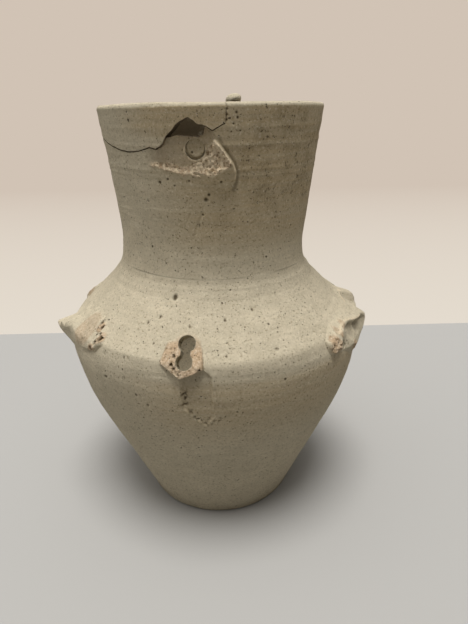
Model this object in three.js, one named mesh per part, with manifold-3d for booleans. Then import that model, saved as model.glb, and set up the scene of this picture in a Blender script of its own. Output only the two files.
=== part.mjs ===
// Unglazed clay jug, built the way a potter builds it: a base disc, thrown wall sections with lapped
// joints, a neck, and applied clay for the handle roots, lugs and rim knob. The handles are broken off.
// Millimetres, +Z up, standing on z = 0. The broken vertical handle faces -Y.
import * as THREE from 'three';
import { mergeVertices } from 'three/addons/utils/BufferGeometryUtils.js';
import { ConvexGeometry } from 'three/addons/geometries/ConvexGeometry.js';
import Module from 'manifold-3d';

const wasm = await Module();
wasm.setup();

// Overall sizes
const jugHeight = 240;
const wallThickness = 6;
const baseThickness = 8;
const baseRadius = 47.5;
const heelRadius = 3;
const bellyRadius = 87.3;
const bellyHeight = 110;
const lowerWallSwell = 86;
const shoulderRadius = 76;
const shoulderHeight = 130.7;
const collarRadius = 56.4;
const collarHeight = 151.2;
const throatRadius = 52.3;
const throatHeight = 172;
const flareHeight = 178;
const rimRadius = 60;

// Joints between the thrown sections
const clearance = 0.3;
const lapHeight = 5;
const baseSeatHeight = 4.5;
const lowerSeamHeight = 58;
const neckSeatHeight = 157;
const lutingWidth = 7;
const lutingHeight = 1.2;

// Broken vertical handle: the neck scar with its peg, and the shoulder scar with its two peg holes
const handleAngle = -10;
const scarDepth = 1.8;
const rootHeight = 2.4;
const pegDiameter = 8;
const pegAngle = -7.8;
const pegBelowRim = 20.2;
const pegProud = 0.4;
const stumpHeight = 2.6;
const tailDepth = 0.8;
const holeAngle = -11;
const holeSlope = 36;
const upperHoleDiameter = 8.7;
const upperHoleHeight = 132.5;
const lowerHoleDiameter = 8.2;
const lowerHoleHeight = 125.8;
const bridgeGap = 4.6;

// Knob on the rim, opposite the handle
const knobAngle = 168;
const knobDiameter = 10.5;
const knobNeckDiameter = 8.4;
const knobHeight = 5.5;

const facets = 48;
const smallFacets = 20;
const lipSteps = 6;
const thinnestStep = 0.6;
const bellyReach = 2 * bellyRadius;

// Rim sherd that was broken out and put back: angle, depth of its edge below the rim, and the height of
// the chip that is missing under it
const crack = [
  [-112, 8, 0],
  [-90, 12, 0],
  [-67, 17.2, 0],
  [-44, 21.8, 0],
  [-29.5, 19.4, 0],
  [-26.4, 20.3, 0],
  [-20.5, 14.6, 0],
  [-17.3, 11.7, 2.3],
  [-13.4, 8.4, 5.8],
  [-9.8, 7.1, 7.6],
  [-5.7, 10, 4.7],
  [-3.5, 10.3, 3.2],
  [-2.7, 10.4, 0],
  [0.2, 11.9, 0],
  [5.6, 9.6, 0],
  [5.9, 9.4, 0],
];

// Outlines of the handle scars in mm across from the handle line: on the neck in mm below the rim, on the
// shoulder in mm above the lower peg hole
const scarOutline = [
  [-21, 20], [-20, 27], [-7, 29], [7.5, 31.7], [19, 33], [16, 23], [11, 13], [-9, 12],
];
const rootOutline = [
  [7.4, 20.5], [11, 16.5], [15.8, 23], [19.5, 31], [17, 38.5], [10, 37], [-2, 28.5], [2, 26],
];
const stumpOutline = [
  [-10.6, 6.7], [-12.9, -0.8], [-2.3, -6.5], [7.1, -2.5], [5.8, 3.5], [2, 10.7], [-5, 11.2],
];
const tailOutline = [
  [-2.2, -6.6], [-2.6, -20.5], [4, -27], [7.5, -31], [10, -27], [11.6, -24], [11.6, -6], [7.2, -2.4],
];

// Lugs, the roots of two lost side handles: corners as angle, height above the lug line and distance out
// from the wall, and finger presses as angle, height, distance out and radius. The angles are those on a
// belly of the drawn radius: on any other belly a lug keeps its width, centred on its first press
const lugLine = 122;
const lugDrawnRadius = 87.3;
const lugs = [
  {
    name: 'lug_left_front',
    corners: [
      [-82, -2.5, 10.5], [-69, 3.5, 5.2], [-58.6, 10.5, 2], [-44.6, 5.2, 1.2], [-50.8, -1.4, 2.2],
      [-57.6, 2.1, 4], [-77.6, -8.1, 6], [-73.5, -10.1, 3], [-69, -9.5, 0.4], [-64, 12.5, 0.4],
      [-84, 7, 0.4], [-88, -3, 0.5], [-86, -12, 0.5],
    ],
    presses: [[-71, -9, 14, 12]],
  },
  {
    name: 'lug_left_rear',
    corners: [
      [-94, 12.2, 3.6], [-93.5, 10.4, 4.9], [-93, 8.7, 5.5], [-91.6, 6, 4.2], [-90.5, 3, 2.7], [-95, 15, 0.4],
      [-108, 9, 3.2], [-110, 3, 2], [-104, -4, 0.5], [-112, 12, 0.4], [-91, 0, 0.4],
    ],
    presses: [[-102, 2, 10, 7]],
  },
  {
    name: 'lug_right_front',
    corners: [
      [81, -1, 8], [81.6, -5, 6], [74, 2.4, 4], [65.2, 5.6, 3], [60, 5.6, 2.2], [52.6, 4.1, 2.2],
      [47, 4.5, 2.2], [44.8, 1.2, 3], [46.9, -3.3, 3], [52, -6.5, 2.6], [56, -7.1, 2], [61, -11, 1.2],
      [56, 9, 0.4], [72, 9, 0.4], [84, 6, 0.4], [85, -6, 0.5], [74, -13, 0.5],
    ],
    presses: [[70, -5.5, 12, 11]],
  },
  {
    name: 'lug_right_rear',
    corners: [
      [92.7, 11, 1.5], [92.7, 8, 7], [91.9, 7.5, 10.9], [90.3, 6.1, 10.5], [88.6, 2, 6.4], [88, -1.5, 4.5],
      [90, 14, 0.4], [106, 8, 3], [108, 0, 2], [104, -6, 0.5], [110, 11, 0.4],
    ],
    presses: [[86, 4.5, 13, 7]],
  },
];

const clay = { color: 0xb8b29c, roughness: 0.92, metalness: 0 };
const brokenClay = { color: 0xc9aa8d, roughness: 0.95, metalness: 0 };
const darkClay = { color: 0x9a917a, roughness: 0.95, metalness: 0 };

const radians = THREE.MathUtils.degToRad;

// Outer outline of the wall as points of radius (x) and height (y)
const coneSlope = (collarHeight - shoulderHeight) / (collarRadius - shoulderRadius);
const rimHeight = jugHeight - wallThickness / 2;
const point = (radius, height) => new THREE.Vector2(radius, height);
const onCone = (radius) => point(radius, shoulderHeight + (radius - shoulderRadius) * coneSlope);
const bend = (from, through, to, steps) => new THREE.QuadraticBezierCurve(from, through, to).getPoints(steps);

const belly = point(bellyRadius, bellyHeight);
const throat = point(throatRadius, throatHeight);
const outerWall = [
  ...bend(point(baseRadius, 0), point(bellyRadius, lowerWallSwell), belly, 8),
  ...bend(belly, onCone(bellyRadius), point(shoulderRadius, shoulderHeight), 4).slice(1),
  ...bend(point(collarRadius, collarHeight), onCone(throatRadius), throat, 4),
  ...bend(throat, point(throatRadius, flareHeight), point(rimRadius, rimHeight), 5).slice(1),
];

// Points moved out from the wall by a distance, at right angles to it, and level at the rim
function offsetWall(distance) {
  return outerWall.map((here, index) => {
    if (index === outerWall.length - 1) return point(here.x + distance, here.y);
    const before = outerWall[Math.max(index - 1, 0)];
    const along = outerWall[index + 1].clone().sub(before).normalize();
    return point(here.x + along.y * distance, here.y - along.x * distance);
  });
}

const innerWall = offsetWall(-wallThickness);

function radiusAt(wall, height) {
  const above = wall.findIndex((here) => here.y >= height);
  if (above === -1) return wall.at(-1).x;
  const high = wall[above];
  const low = wall[Math.max(above - 1, 0)];
  return high.y === low.y ? high.x : THREE.MathUtils.mapLinear(height, low.y, high.y, low.x, high.x);
}

const outerAt = (height) => radiusAt(outerWall, height);
const innerAt = (height) => radiusAt(innerWall, height);
const middleAt = (height) => (outerAt(height) + innerAt(height)) / 2;

function stretch(wall, low, high) {
  const inside = wall.filter((here) => here.y > low + thinnestStep && here.y < high - thinnestStep);
  return [point(radiusAt(wall, low), low), ...inside, point(radiusAt(wall, high), high)];
}

// Closed solids for the boolean cuts
function solid(geometry) {
  const bare = geometry.clone();
  bare.deleteAttribute('normal');
  bare.deleteAttribute('uv');
  const merged = mergeVertices(bare, 1e-4);
  const corners = merged.index.array;
  const kept = [];
  for (let first = 0; first < corners.length; first += 3) {
    const [a, b, c] = corners.slice(first, first + 3);
    if (a !== b && b !== c && c !== a) kept.push(a, b, c);
  }
  const vertProperties = new Float32Array(merged.attributes.position.array);
  return new wasm.Manifold(new wasm.Mesh({ numProp: 3, vertProperties, triVerts: new Uint32Array(kept) }));
}

// Outline of radius and height, listed anticlockwise, turned about the jug's axis
function revolve(outline) {
  return solid(new THREE.LatheGeometry([...outline, outline[0]], facets).rotateX(Math.PI / 2));
}

// Shape drawn across and up, pushed outwards from the axis in the direction of an angle
function pushedOut(outline, angle) {
  const shape = new THREE.Shape(outline.map(([across, height]) => point(across, height)));
  const geometry = new THREE.ExtrudeGeometry(shape, { depth: bellyReach, bevelEnabled: false });
  return solid(geometry.rotateX(Math.PI / 2).rotateZ(radians(angle)));
}

// Layer that follows the wall between two distances out from it
function layer(low, high, from, to) {
  const inside = stretch(offsetWall(from), low, high);
  const outside = stretch(offsetWall(to), low, high);
  return revolve([...outside, ...inside.reverse()]);
}

function placeOut(angle, height, distance) {
  const radius = outerAt(height) + distance;
  return new THREE.Vector3(radius * Math.sin(radians(angle)), -radius * Math.cos(radians(angle)), height);
}

// Rod through the wall: its outer end points out at an angle and a slope above level
function rod(diameter, length, angle, slope, middle) {
  const geometry = new THREE.CylinderGeometry(diameter / 2, diameter / 2, length, smallFacets);
  geometry.rotateX(radians(-slope)).rotateZ(radians(angle));
  return solid(geometry.translate(middle.x, middle.y, middle.z));
}

// Lap joint at a height, from the outer face to the inner face: the section below has a tongue inside
function lap(height, gap) {
  const foot = height + gap;
  const top = foot + lapHeight;
  return [
    point(outerAt(foot), foot),
    point(middleAt(foot) + gap, foot),
    point(middleAt(top) + gap, top),
    point(innerAt(top), top),
  ];
}

// Wall section between two edges, each listed from the outer face to the inner face
function section(lowerEdge, upperEdge) {
  const outside = stretch(outerWall, lowerEdge[0].y, upperEdge[0].y);
  const inside = stretch(innerWall, lowerEdge.at(-1).y, upperEdge.at(-1).y);
  return revolve([
    ...outside,
    ...upperEdge.slice(1, -1),
    ...inside.reverse(),
    ...lowerEdge.slice(1, -1).reverse(),
  ]);
}

// Base disc and the lower wall that stands on its edge
const floorRadius = innerAt(baseThickness) - clearance;
const heel = bend(
  point(baseRadius - heelRadius, 0), point(baseRadius, 0), point(outerAt(heelRadius), heelRadius), 4);
const baseDisc = revolve([
  point(0, 0),
  ...heel,
  point(outerAt(baseSeatHeight), baseSeatHeight),
  point(floorRadius, baseSeatHeight),
  point(floorRadius, baseThickness),
  point(0, baseThickness),
]);

const wallFoot = baseSeatHeight + clearance;
const lowerWall = section(
  [
    point(outerAt(wallFoot), wallFoot),
    point(floorRadius + clearance, wallFoot),
    point(innerAt(baseThickness), baseThickness),
  ],
  lap(lowerSeamHeight, 0),
);

// Shoulder section with the two peg holes of the lost handle, joined where the clay between them broke out,
// and the shallow bed that the handle's tail left below them
const holeLength = 4 * wallThickness;
const upperHoleMiddle = placeOut(holeAngle, upperHoleHeight, 0);
const lowerHoleMiddle = placeOut(holeAngle, lowerHoleHeight, 0);
const holeCentres = upperHoleMiddle.clone().add(lowerHoleMiddle).multiplyScalar(0.5);
const bridge = new THREE.BoxGeometry(bridgeGap, holeLength, upperHoleMiddle.distanceTo(lowerHoleMiddle));
bridge.rotateX(radians(-holeSlope)).rotateZ(radians(holeAngle));
bridge.translate(holeCentres.x, holeCentres.y, holeCentres.z);
const pegHoles = rod(upperHoleDiameter, holeLength, holeAngle, holeSlope, upperHoleMiddle)
  .add(rod(lowerHoleDiameter, holeLength, holeAngle, holeSlope, lowerHoleMiddle))
  .add(solid(bridge));
const fromHole = (outline) => outline.map(([across, rise]) => [across, lowerHoleHeight + rise]);
const tailSeat = pushedOut(fromHole(tailOutline), handleAngle)
  .intersect(layer(lowerSeamHeight + lapHeight, neckSeatHeight, -tailDepth, wallThickness));
const shoulder = section(lap(lowerSeamHeight, clearance), lap(neckSeatHeight, 0))
  .subtract(pegHoles)
  .subtract(tailSeat);

// Fillet of clay smeared round the shoulder under the neck
const lutingFoot = neckSeatHeight - lutingWidth;
const lutingRing = revolve([
  ...stretch(offsetWall(lutingHeight), lutingFoot + lutingHeight, neckSeatHeight - clearance),
  ...stretch(offsetWall(clearance), lutingFoot, neckSeatHeight - clearance).reverse(),
]);

// Neck up to the rounded lip
const lipMiddle = point(rimRadius - wallThickness / 2, rimHeight);
function roundLip(reach, steps) {
  return Array.from({ length: steps + 1 }, (_, step) => {
    const turn = (step / lipSteps) * Math.PI;
    return point(lipMiddle.x + Math.cos(turn) * reach, lipMiddle.y + Math.sin(turn) * reach);
  });
}
const wholeNeck = section(lap(neckSeatHeight, clearance), roundLip(wallThickness / 2, lipSteps));

// Block above the crack all the way round it, lowered and lengthened by a gap, with or without the chip
function aboveCrack(gap, withChip) {
  const inner = innerAt(rimHeight) / 2;
  const outer = rimRadius + bellyRadius;
  const top = jugHeight + wallThickness;
  const endTurn = THREE.MathUtils.radToDeg(gap / rimRadius);
  const corners = [];
  crack.forEach(([angle, drop, chip], index) => {
    const ends = (index === crack.length - 1) - (index === 0);
    const turn = radians(angle + ends * endTurn);
    const low = jugHeight - drop - gap - (withChip ? chip : 0);
    for (const [radius, height] of [[inner, low], [outer, low], [outer, top], [inner, top]]) {
      corners.push(radius * Math.sin(turn), -radius * Math.cos(turn), height);
    }
  });
  const faces = [0, 1, 2, 0, 2, 3];
  for (let ring = 0; ring < crack.length - 1; ring += 1) {
    for (let side = 0; side < 4; side += 1) {
      const near = ring * 4 + side;
      const next = ring * 4 + ((side + 1) % 4);
      faces.push(near, next + 4, next, near, near + 4, next + 4);
    }
  }
  const last = (crack.length - 1) * 4;
  faces.push(last, last + 2, last + 1, last, last + 3, last + 2);
  const geometry = new THREE.BufferGeometry();
  geometry.setAttribute('position', new THREE.Float32BufferAttribute(corners, 3));
  geometry.setIndex(faces);
  return solid(geometry);
}

const rimSherd = wholeNeck.intersect(aboveCrack(0, false));

// Outline with each corner moved towards its middle
function drawnIn(outline, distance) {
  const corners = outline.map(([across, height]) => point(across, height));
  const middle = corners.reduce((sum, corner) => sum.add(corner), point(0, 0)).divideScalar(corners.length);
  return corners.map((corner) => corner.sub(middle)).map((arm) => (
    arm.setLength(arm.length() - distance).add(middle).toArray()));
}

// Handle scar on the neck: a shallow seat, a round peg through the wall, and what is left of the root
const fromRim = (outline) => outline.map(([across, drop]) => [across, jugHeight - drop]);
const pegHeight = jugHeight - pegBelowRim;
const pegLength = wallThickness - scarDepth + pegProud - clearance;
const pegMiddle = placeOut(pegAngle, pegHeight, pegProud - scarDepth - pegLength / 2);
const tenonPeg = rod(pegDiameter, pegLength, pegAngle, 0, pegMiddle);
const pegHole = rod(pegDiameter + 2 * clearance, 4 * wallThickness, pegAngle, 0, pegMiddle);
const scarSeat = pushedOut(fromRim(scarOutline), handleAngle)
  .intersect(layer(throatHeight, rimHeight, -scarDepth, wallThickness));
const neck = wholeNeck.subtract(aboveCrack(clearance, true)).subtract(scarSeat).subtract(pegHole);

const onNeck = layer(throatHeight, rimHeight, clearance, rootHeight);
const inScar = pushedOut(fromRim(drawnIn(scarOutline, 2 * clearance)), handleAngle)
  .intersect(layer(throatHeight, rimHeight, clearance - scarDepth, rootHeight));
const upperRoot = pushedOut(fromRim(rootOutline), handleAngle)
  .intersect(onNeck.add(inScar))
  .subtract(pegHole);

// Handle scar on the shoulder: the broken stump round the peg holes
const lowerRoot = pushedOut(fromHole(stumpOutline), handleAngle)
  .intersect(layer(lowerSeamHeight + lapHeight, neckSeatHeight, clearance, stumpHeight))
  .subtract(pegHoles);

// Lugs: a lump between corner points, cut to the wall and hollowed by finger presses
const wallCore = revolve([
  point(0, lowerSeamHeight),
  ...stretch(offsetWall(clearance), lowerSeamHeight, neckSeatHeight),
  point(0, neckSeatHeight),
]);

function lug(corners, presses) {
  const [centre] = presses[0];
  const placeLug = (angle, rise, distance) =>
    placeOut(centre + ((angle - centre) * lugDrawnRadius) / bellyRadius, lugLine + rise, distance);
  const outer = corners.map(([angle, rise, distance]) => placeLug(angle, rise, distance));
  const buried = corners.map(([angle, rise]) => placeLug(angle, rise, -wallThickness));
  let lump = solid(new ConvexGeometry([...outer, ...buried])).subtract(wallCore);
  for (const [angle, rise, distance, radius] of presses) {
    const middle = placeLug(angle, rise, distance);
    const finger = new THREE.SphereGeometry(radius, 16, 10).translate(middle.x, middle.y, middle.z);
    lump = lump.subtract(solid(finger));
  }
  return lump;
}

// Knob pressed on to the rim, narrower where it meets the lip
const knobFoot = jugHeight - wallThickness / 4;
const knobTop = jugHeight + knobHeight;
const knobTurned = new THREE.LatheGeometry([
  point(0, knobFoot),
  point(knobNeckDiameter / 2, knobFoot),
  point(knobNeckDiameter / 2, jugHeight + knobHeight / 4),
  point(knobDiameter / 2, jugHeight + knobHeight / 2),
  point(knobDiameter / 2, jugHeight + knobHeight * 0.8),
  point(knobDiameter / 3, knobTop),
  point(0, knobTop),
], smallFacets).rotateX(Math.PI / 2);
const knobPlace = placeOut(knobAngle, rimHeight, -wallThickness / 2);
const lipWithGap = revolve(roundLip(wallThickness / 2 + clearance, 2 * lipSteps - 1));
const rimKnob = solid(knobTurned.translate(knobPlace.x, knobPlace.y, 0)).subtract(lipWithGap);

// Named meshes
function mesh(name, body, look) {
  const { vertProperties, triVerts } = body.getMesh();
  const geometry = new THREE.BufferGeometry();
  geometry.setAttribute('position', new THREE.Float32BufferAttribute(vertProperties, 3));
  geometry.setIndex(new THREE.Uint32BufferAttribute(triVerts, 1));
  geometry.computeVertexNormals();
  const made = new THREE.Mesh(geometry, new THREE.MeshStandardMaterial(look));
  made.name = name;
  return made;
}

const jug = new THREE.Group();
jug.add(
  mesh('base_disc', baseDisc, clay),
  mesh('lower_wall', lowerWall, clay),
  mesh('shoulder', shoulder, clay),
  mesh('neck_luting_ring', lutingRing, clay),
  mesh('neck', neck, clay),
  mesh('rim_sherd', rimSherd, clay),
  mesh('tenon_peg', tenonPeg, darkClay),
  mesh('upper_handle_root', upperRoot, brokenClay),
  mesh('lower_handle_root', lowerRoot, brokenClay),
  ...lugs.map(({ name, corners, presses }) => mesh(name, lug(corners, presses), clay)),
  mesh('rim_knob', rimKnob, clay),
);

export default jug;
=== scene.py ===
"""Looks of an old unglazed clay jug whose handles are broken off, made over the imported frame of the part.

Lengths are millimetres, and meshes are turned into metres as they are made. Angles are degrees round the
jug's axis: 0 at the side of the broken upright handle (-Y), growing towards +X.
"""

import functools
import itertools
import logging
import math
from dataclasses import dataclass, field
from enum import Enum
from typing import Any

import bmesh
import bpy
import numpy as np
from mathutils import Matrix, Vector
from mathutils.geometry import delaunay_2d_cdt

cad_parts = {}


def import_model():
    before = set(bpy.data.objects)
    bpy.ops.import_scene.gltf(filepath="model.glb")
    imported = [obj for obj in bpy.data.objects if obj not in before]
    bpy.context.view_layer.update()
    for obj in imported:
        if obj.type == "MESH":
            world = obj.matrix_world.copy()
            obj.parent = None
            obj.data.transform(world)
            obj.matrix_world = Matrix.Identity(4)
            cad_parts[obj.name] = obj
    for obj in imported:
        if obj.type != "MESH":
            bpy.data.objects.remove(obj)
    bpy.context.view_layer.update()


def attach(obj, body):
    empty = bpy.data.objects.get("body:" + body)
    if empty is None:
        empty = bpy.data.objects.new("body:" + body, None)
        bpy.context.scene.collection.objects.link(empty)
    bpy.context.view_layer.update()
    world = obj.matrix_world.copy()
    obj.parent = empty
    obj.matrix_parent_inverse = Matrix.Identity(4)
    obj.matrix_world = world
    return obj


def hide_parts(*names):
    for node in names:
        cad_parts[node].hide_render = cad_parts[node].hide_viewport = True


LOG = logging.getLogger("clay_jug")
MM = 0.001
CREASE = 42.0
ROUND_CREASE = 60.0
UPRIGHT = np.array([0.0, 0.0, 1.0])
LEVEL = np.array([1.0, 1.0, 0.0])

Socket = bpy.types.NodeSocket
NodeTree = bpy.types.NodeTree
Piece = bpy.types.Object

Field = np.ndarray
Pair = tuple[float, float]
Colour = tuple[float, float, float]
Faces = list[tuple[int, ...]]
Outline = tuple[Pair, ...]
Spots = tuple[tuple[float, float, float], ...]
Places = tuple[tuple[float, float, float, float], ...]


class ClaySlot(Enum):
    """Material slots of the part's record."""

    FIRED = "fired_clay"
    BROKEN = "broken_clay"
    TENON = "tenon_clay"


class SurfaceMask(Enum):
    """Values kept on the points of a mesh for its material to read. Besides broken clay, stains and soiling,
    they carry painted light: the brown mask also holds painted shade, the pale mask holds painted highlight on
    edges that catch the light, and the dark mask holds painted shade in creases, cracks, recesses and inside
    the neck.
    """

    BREAK = "clay_break"
    # Brown stains, and painted shade on the belly, the neck and the sherd.
    STAIN_AND_SHADE = "clay_stain_and_shade"
    # Painted highlight on edges and ledges that catch the light, with some worn pale edge.
    EDGE = "clay_edge_and_highlight"
    # Soiling in pits, and painted shade in creases, cracks, recesses and inside the neck.
    SOIL_AND_SHADE = "clay_soil_and_shade"


Masks = dict[SurfaceMask, Field]


def smooth_step(low: float, high: float, value: Field) -> Field:
    """Rise smoothly from 0 at low to 1 at high."""
    part = np.clip((value - low) / (high - low), 0.0, 1.0)
    return part * part * (3.0 - 2.0 * part)


def window(rise: Pair, fall: Pair, value: Field) -> Field:
    """Rise smoothly over one range and fall again over another."""
    return smooth_step(*rise, value) * (1.0 - smooth_step(*fall, value))


def bell(gap: Field, width: float) -> Field:
    """1 where there is no gap, falling away over a width."""
    return np.exp(-((gap / width) ** 2))


def grid(across: Field, up: Field) -> list[Field]:
    """Two grids with one column for each value across."""
    return np.meshgrid(across, up, indexing="ij")


def turns(count: int) -> Field:
    """Evenly spaced turns of a full circle, in radians."""
    return np.linspace(0.0, 2.0 * math.pi, count, endpoint=False)


def joined(*parts: Field) -> Field:
    """Grids joined along their columns."""
    return np.concatenate(parts, axis=1)


def spread(values: Field, rows: int) -> Field:
    """Grid that repeats one value for each column."""
    return np.broadcast_to(values[:, None], (values.size, rows))


def soften(heights: Field, times: int) -> Field:
    """Round the ridges of a grid of heights.

    Args:
        heights: Grid of heights.
        times: How often each height is mixed with its neighbours.

    Returns:
        The softened grid.
    """
    for _ in range(times):
        wide = np.pad(heights, 1, mode="edge")
        beside = wide[2:, 1:-1] + wide[:-2, 1:-1] + wide[1:-1, 2:] + wide[1:-1, :-2]
        heights = (4.0 * heights + beside) / 8.0
    return heights


def path_distance(across: Field, up: Field, path: Outline) -> Field:
    """Distance from points to an open path.

    Args:
        across: First coordinate of the points.
        up: Second coordinate of the points.
        path: Corners of the path.

    Returns:
        Distances in millimetres.
    """
    gaps = []
    for (x, y), (end_x, end_y) in zip(path, path[1:]):
        run, rise = end_x - x, end_y - y
        part = np.clip(((across - x) * run + (up - y) * rise) / (run * run + rise * rise), 0.0, 1.0)
        gaps.append(np.hypot(across - x - part * run, up - y - part * rise))
    return np.minimum.reduce(gaps)


def inside_depth(across: Field, up: Field, outline: Outline) -> Field:
    """Distance to the nearest edge of an outline, positive inside it.

    Args:
        across: First coordinate of the points.
        up: Second coordinate of the points.
        outline: Corners of the outline.

    Returns:
        Signed distances in millimetres.
    """
    inside = np.zeros(across.shape, bool)
    closed = (*outline, outline[0])
    for (x, y), (end_x, end_y) in zip(closed, closed[1:]):
        if y != end_y:
            crossing = x + (up - y) * (end_x - x) / (end_y - y)
            inside ^= ((y > up) != (end_y > up)) & (across < crossing)
    nearest = path_distance(across, up, closed)
    return np.where(inside, nearest, -nearest)


def sheet_heights(spots: Spots, across: Field, up: Field, buried: float) -> Field:
    """Heights of a clay lump that runs straight between spot heights.

    Args:
        spots: Spot heights as across, up and height.
        across: First coordinate of the points.
        up: Second coordinate of the points.
        buried: Height outside the spots.

    Returns:
        Heights over the points.
    """
    nothing = 1e-6
    flat = [Vector(spot[:2]) for spot in spots]
    corners, _, faces, sources, _, _ = delaunay_2d_cdt(flat, [], [], 0, nothing)
    tops = [spots[source[0]][2] for source in sources]
    heights = np.full(across.shape, buried)
    for a, b, c in faces:
        (ax, ay), (bx, by), (cx, cy) = corners[a], corners[b], corners[c]
        area = (by - cy) * (ax - cx) + (cx - bx) * (ay - cy)
        first = ((by - cy) * (across - cx) + (cx - bx) * (up - cy)) / area
        second = ((cy - ay) * (across - cx) + (ax - cx) * (up - cy)) / area
        third = 1.0 - first - second
        within = (first >= -nothing) & (second >= -nothing) & (third >= -nothing)
        heights = np.where(within, first * tops[a] + second * tops[b] + third * tops[c], heights)
    return heights


def grid_faces(columns: int, rows: int, join_columns: bool, join_rows: bool) -> Faces:
    """Four-sided faces of a grid whose points are listed column by column.

    Args:
        columns: Number of columns.
        rows: Number of points in a column.
        join_columns: Whether the last column meets the first.
        join_rows: Whether the last row meets the first.

    Returns:
        Corner numbers of each face.
    """
    wide = columns if join_columns else columns - 1
    tall = rows if join_rows else rows - 1
    column, row = grid(np.arange(wide), np.arange(tall))
    beside, above = (column + 1) % columns, (row + 1) % rows
    corners = [column * rows + row, beside * rows + row, beside * rows + above, column * rows + above]
    return [tuple(face) for face in np.stack(corners, -1).reshape(-1, 4).tolist()]


def end_faces(columns: int, rows: int) -> Faces:
    """Faces over the first and the last column of a grid."""
    return [tuple(range(rows)), tuple(range(columns * rows - 1, (columns - 1) * rows - 1, -1))]


class ClayNoise:
    """Smooth seeded noise between -1 and 1 over points in millimetres."""

    TABLE = 8192
    STRIDES = (73856093, 19349663, 83492791)

    def __init__(self, seed: int) -> None:
        """Fill the table of random values."""
        self.values = np.random.default_rng(seed).uniform(-1.0, 1.0, self.TABLE)

    def at(self, points: Field, size: float) -> Field:
        """Noise at points.

        Args:
            points: Places in space, with three coordinates in the last axis.
            size: Size of the lumps.

        Returns:
            One value for each point.
        """
        cells = points / size
        low = np.floor(cells).astype(np.int64)
        part = smooth_step(0.0, 1.0, cells - low)
        total = np.zeros(points.shape[:-1])
        for corner in itertools.product((0, 1), repeat=3):
            weight = np.ones(points.shape[:-1])
            key = np.zeros(points.shape[:-1], np.int64)
            for axis, step in enumerate(corner):
                key ^= (low[..., axis] + step) * self.STRIDES[axis]
                weight *= part[..., axis] if step else 1.0 - part[..., axis]
            total += weight * self.values[key % self.TABLE]
        return total

    def rough(self, points: Field, size: float) -> Field:
        """Noise of three sizes, each half of the one before."""
        return sum(self.at(points, size / 2**step) / 2**step for step in range(3))

    def drawn(self, points: Field, size: float, squeeze: float) -> Field:
        """Noise that is drawn out level, so that it runs round the wall."""
        return self.at(points * np.array([squeeze, squeeze, 1.0]), size)


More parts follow.
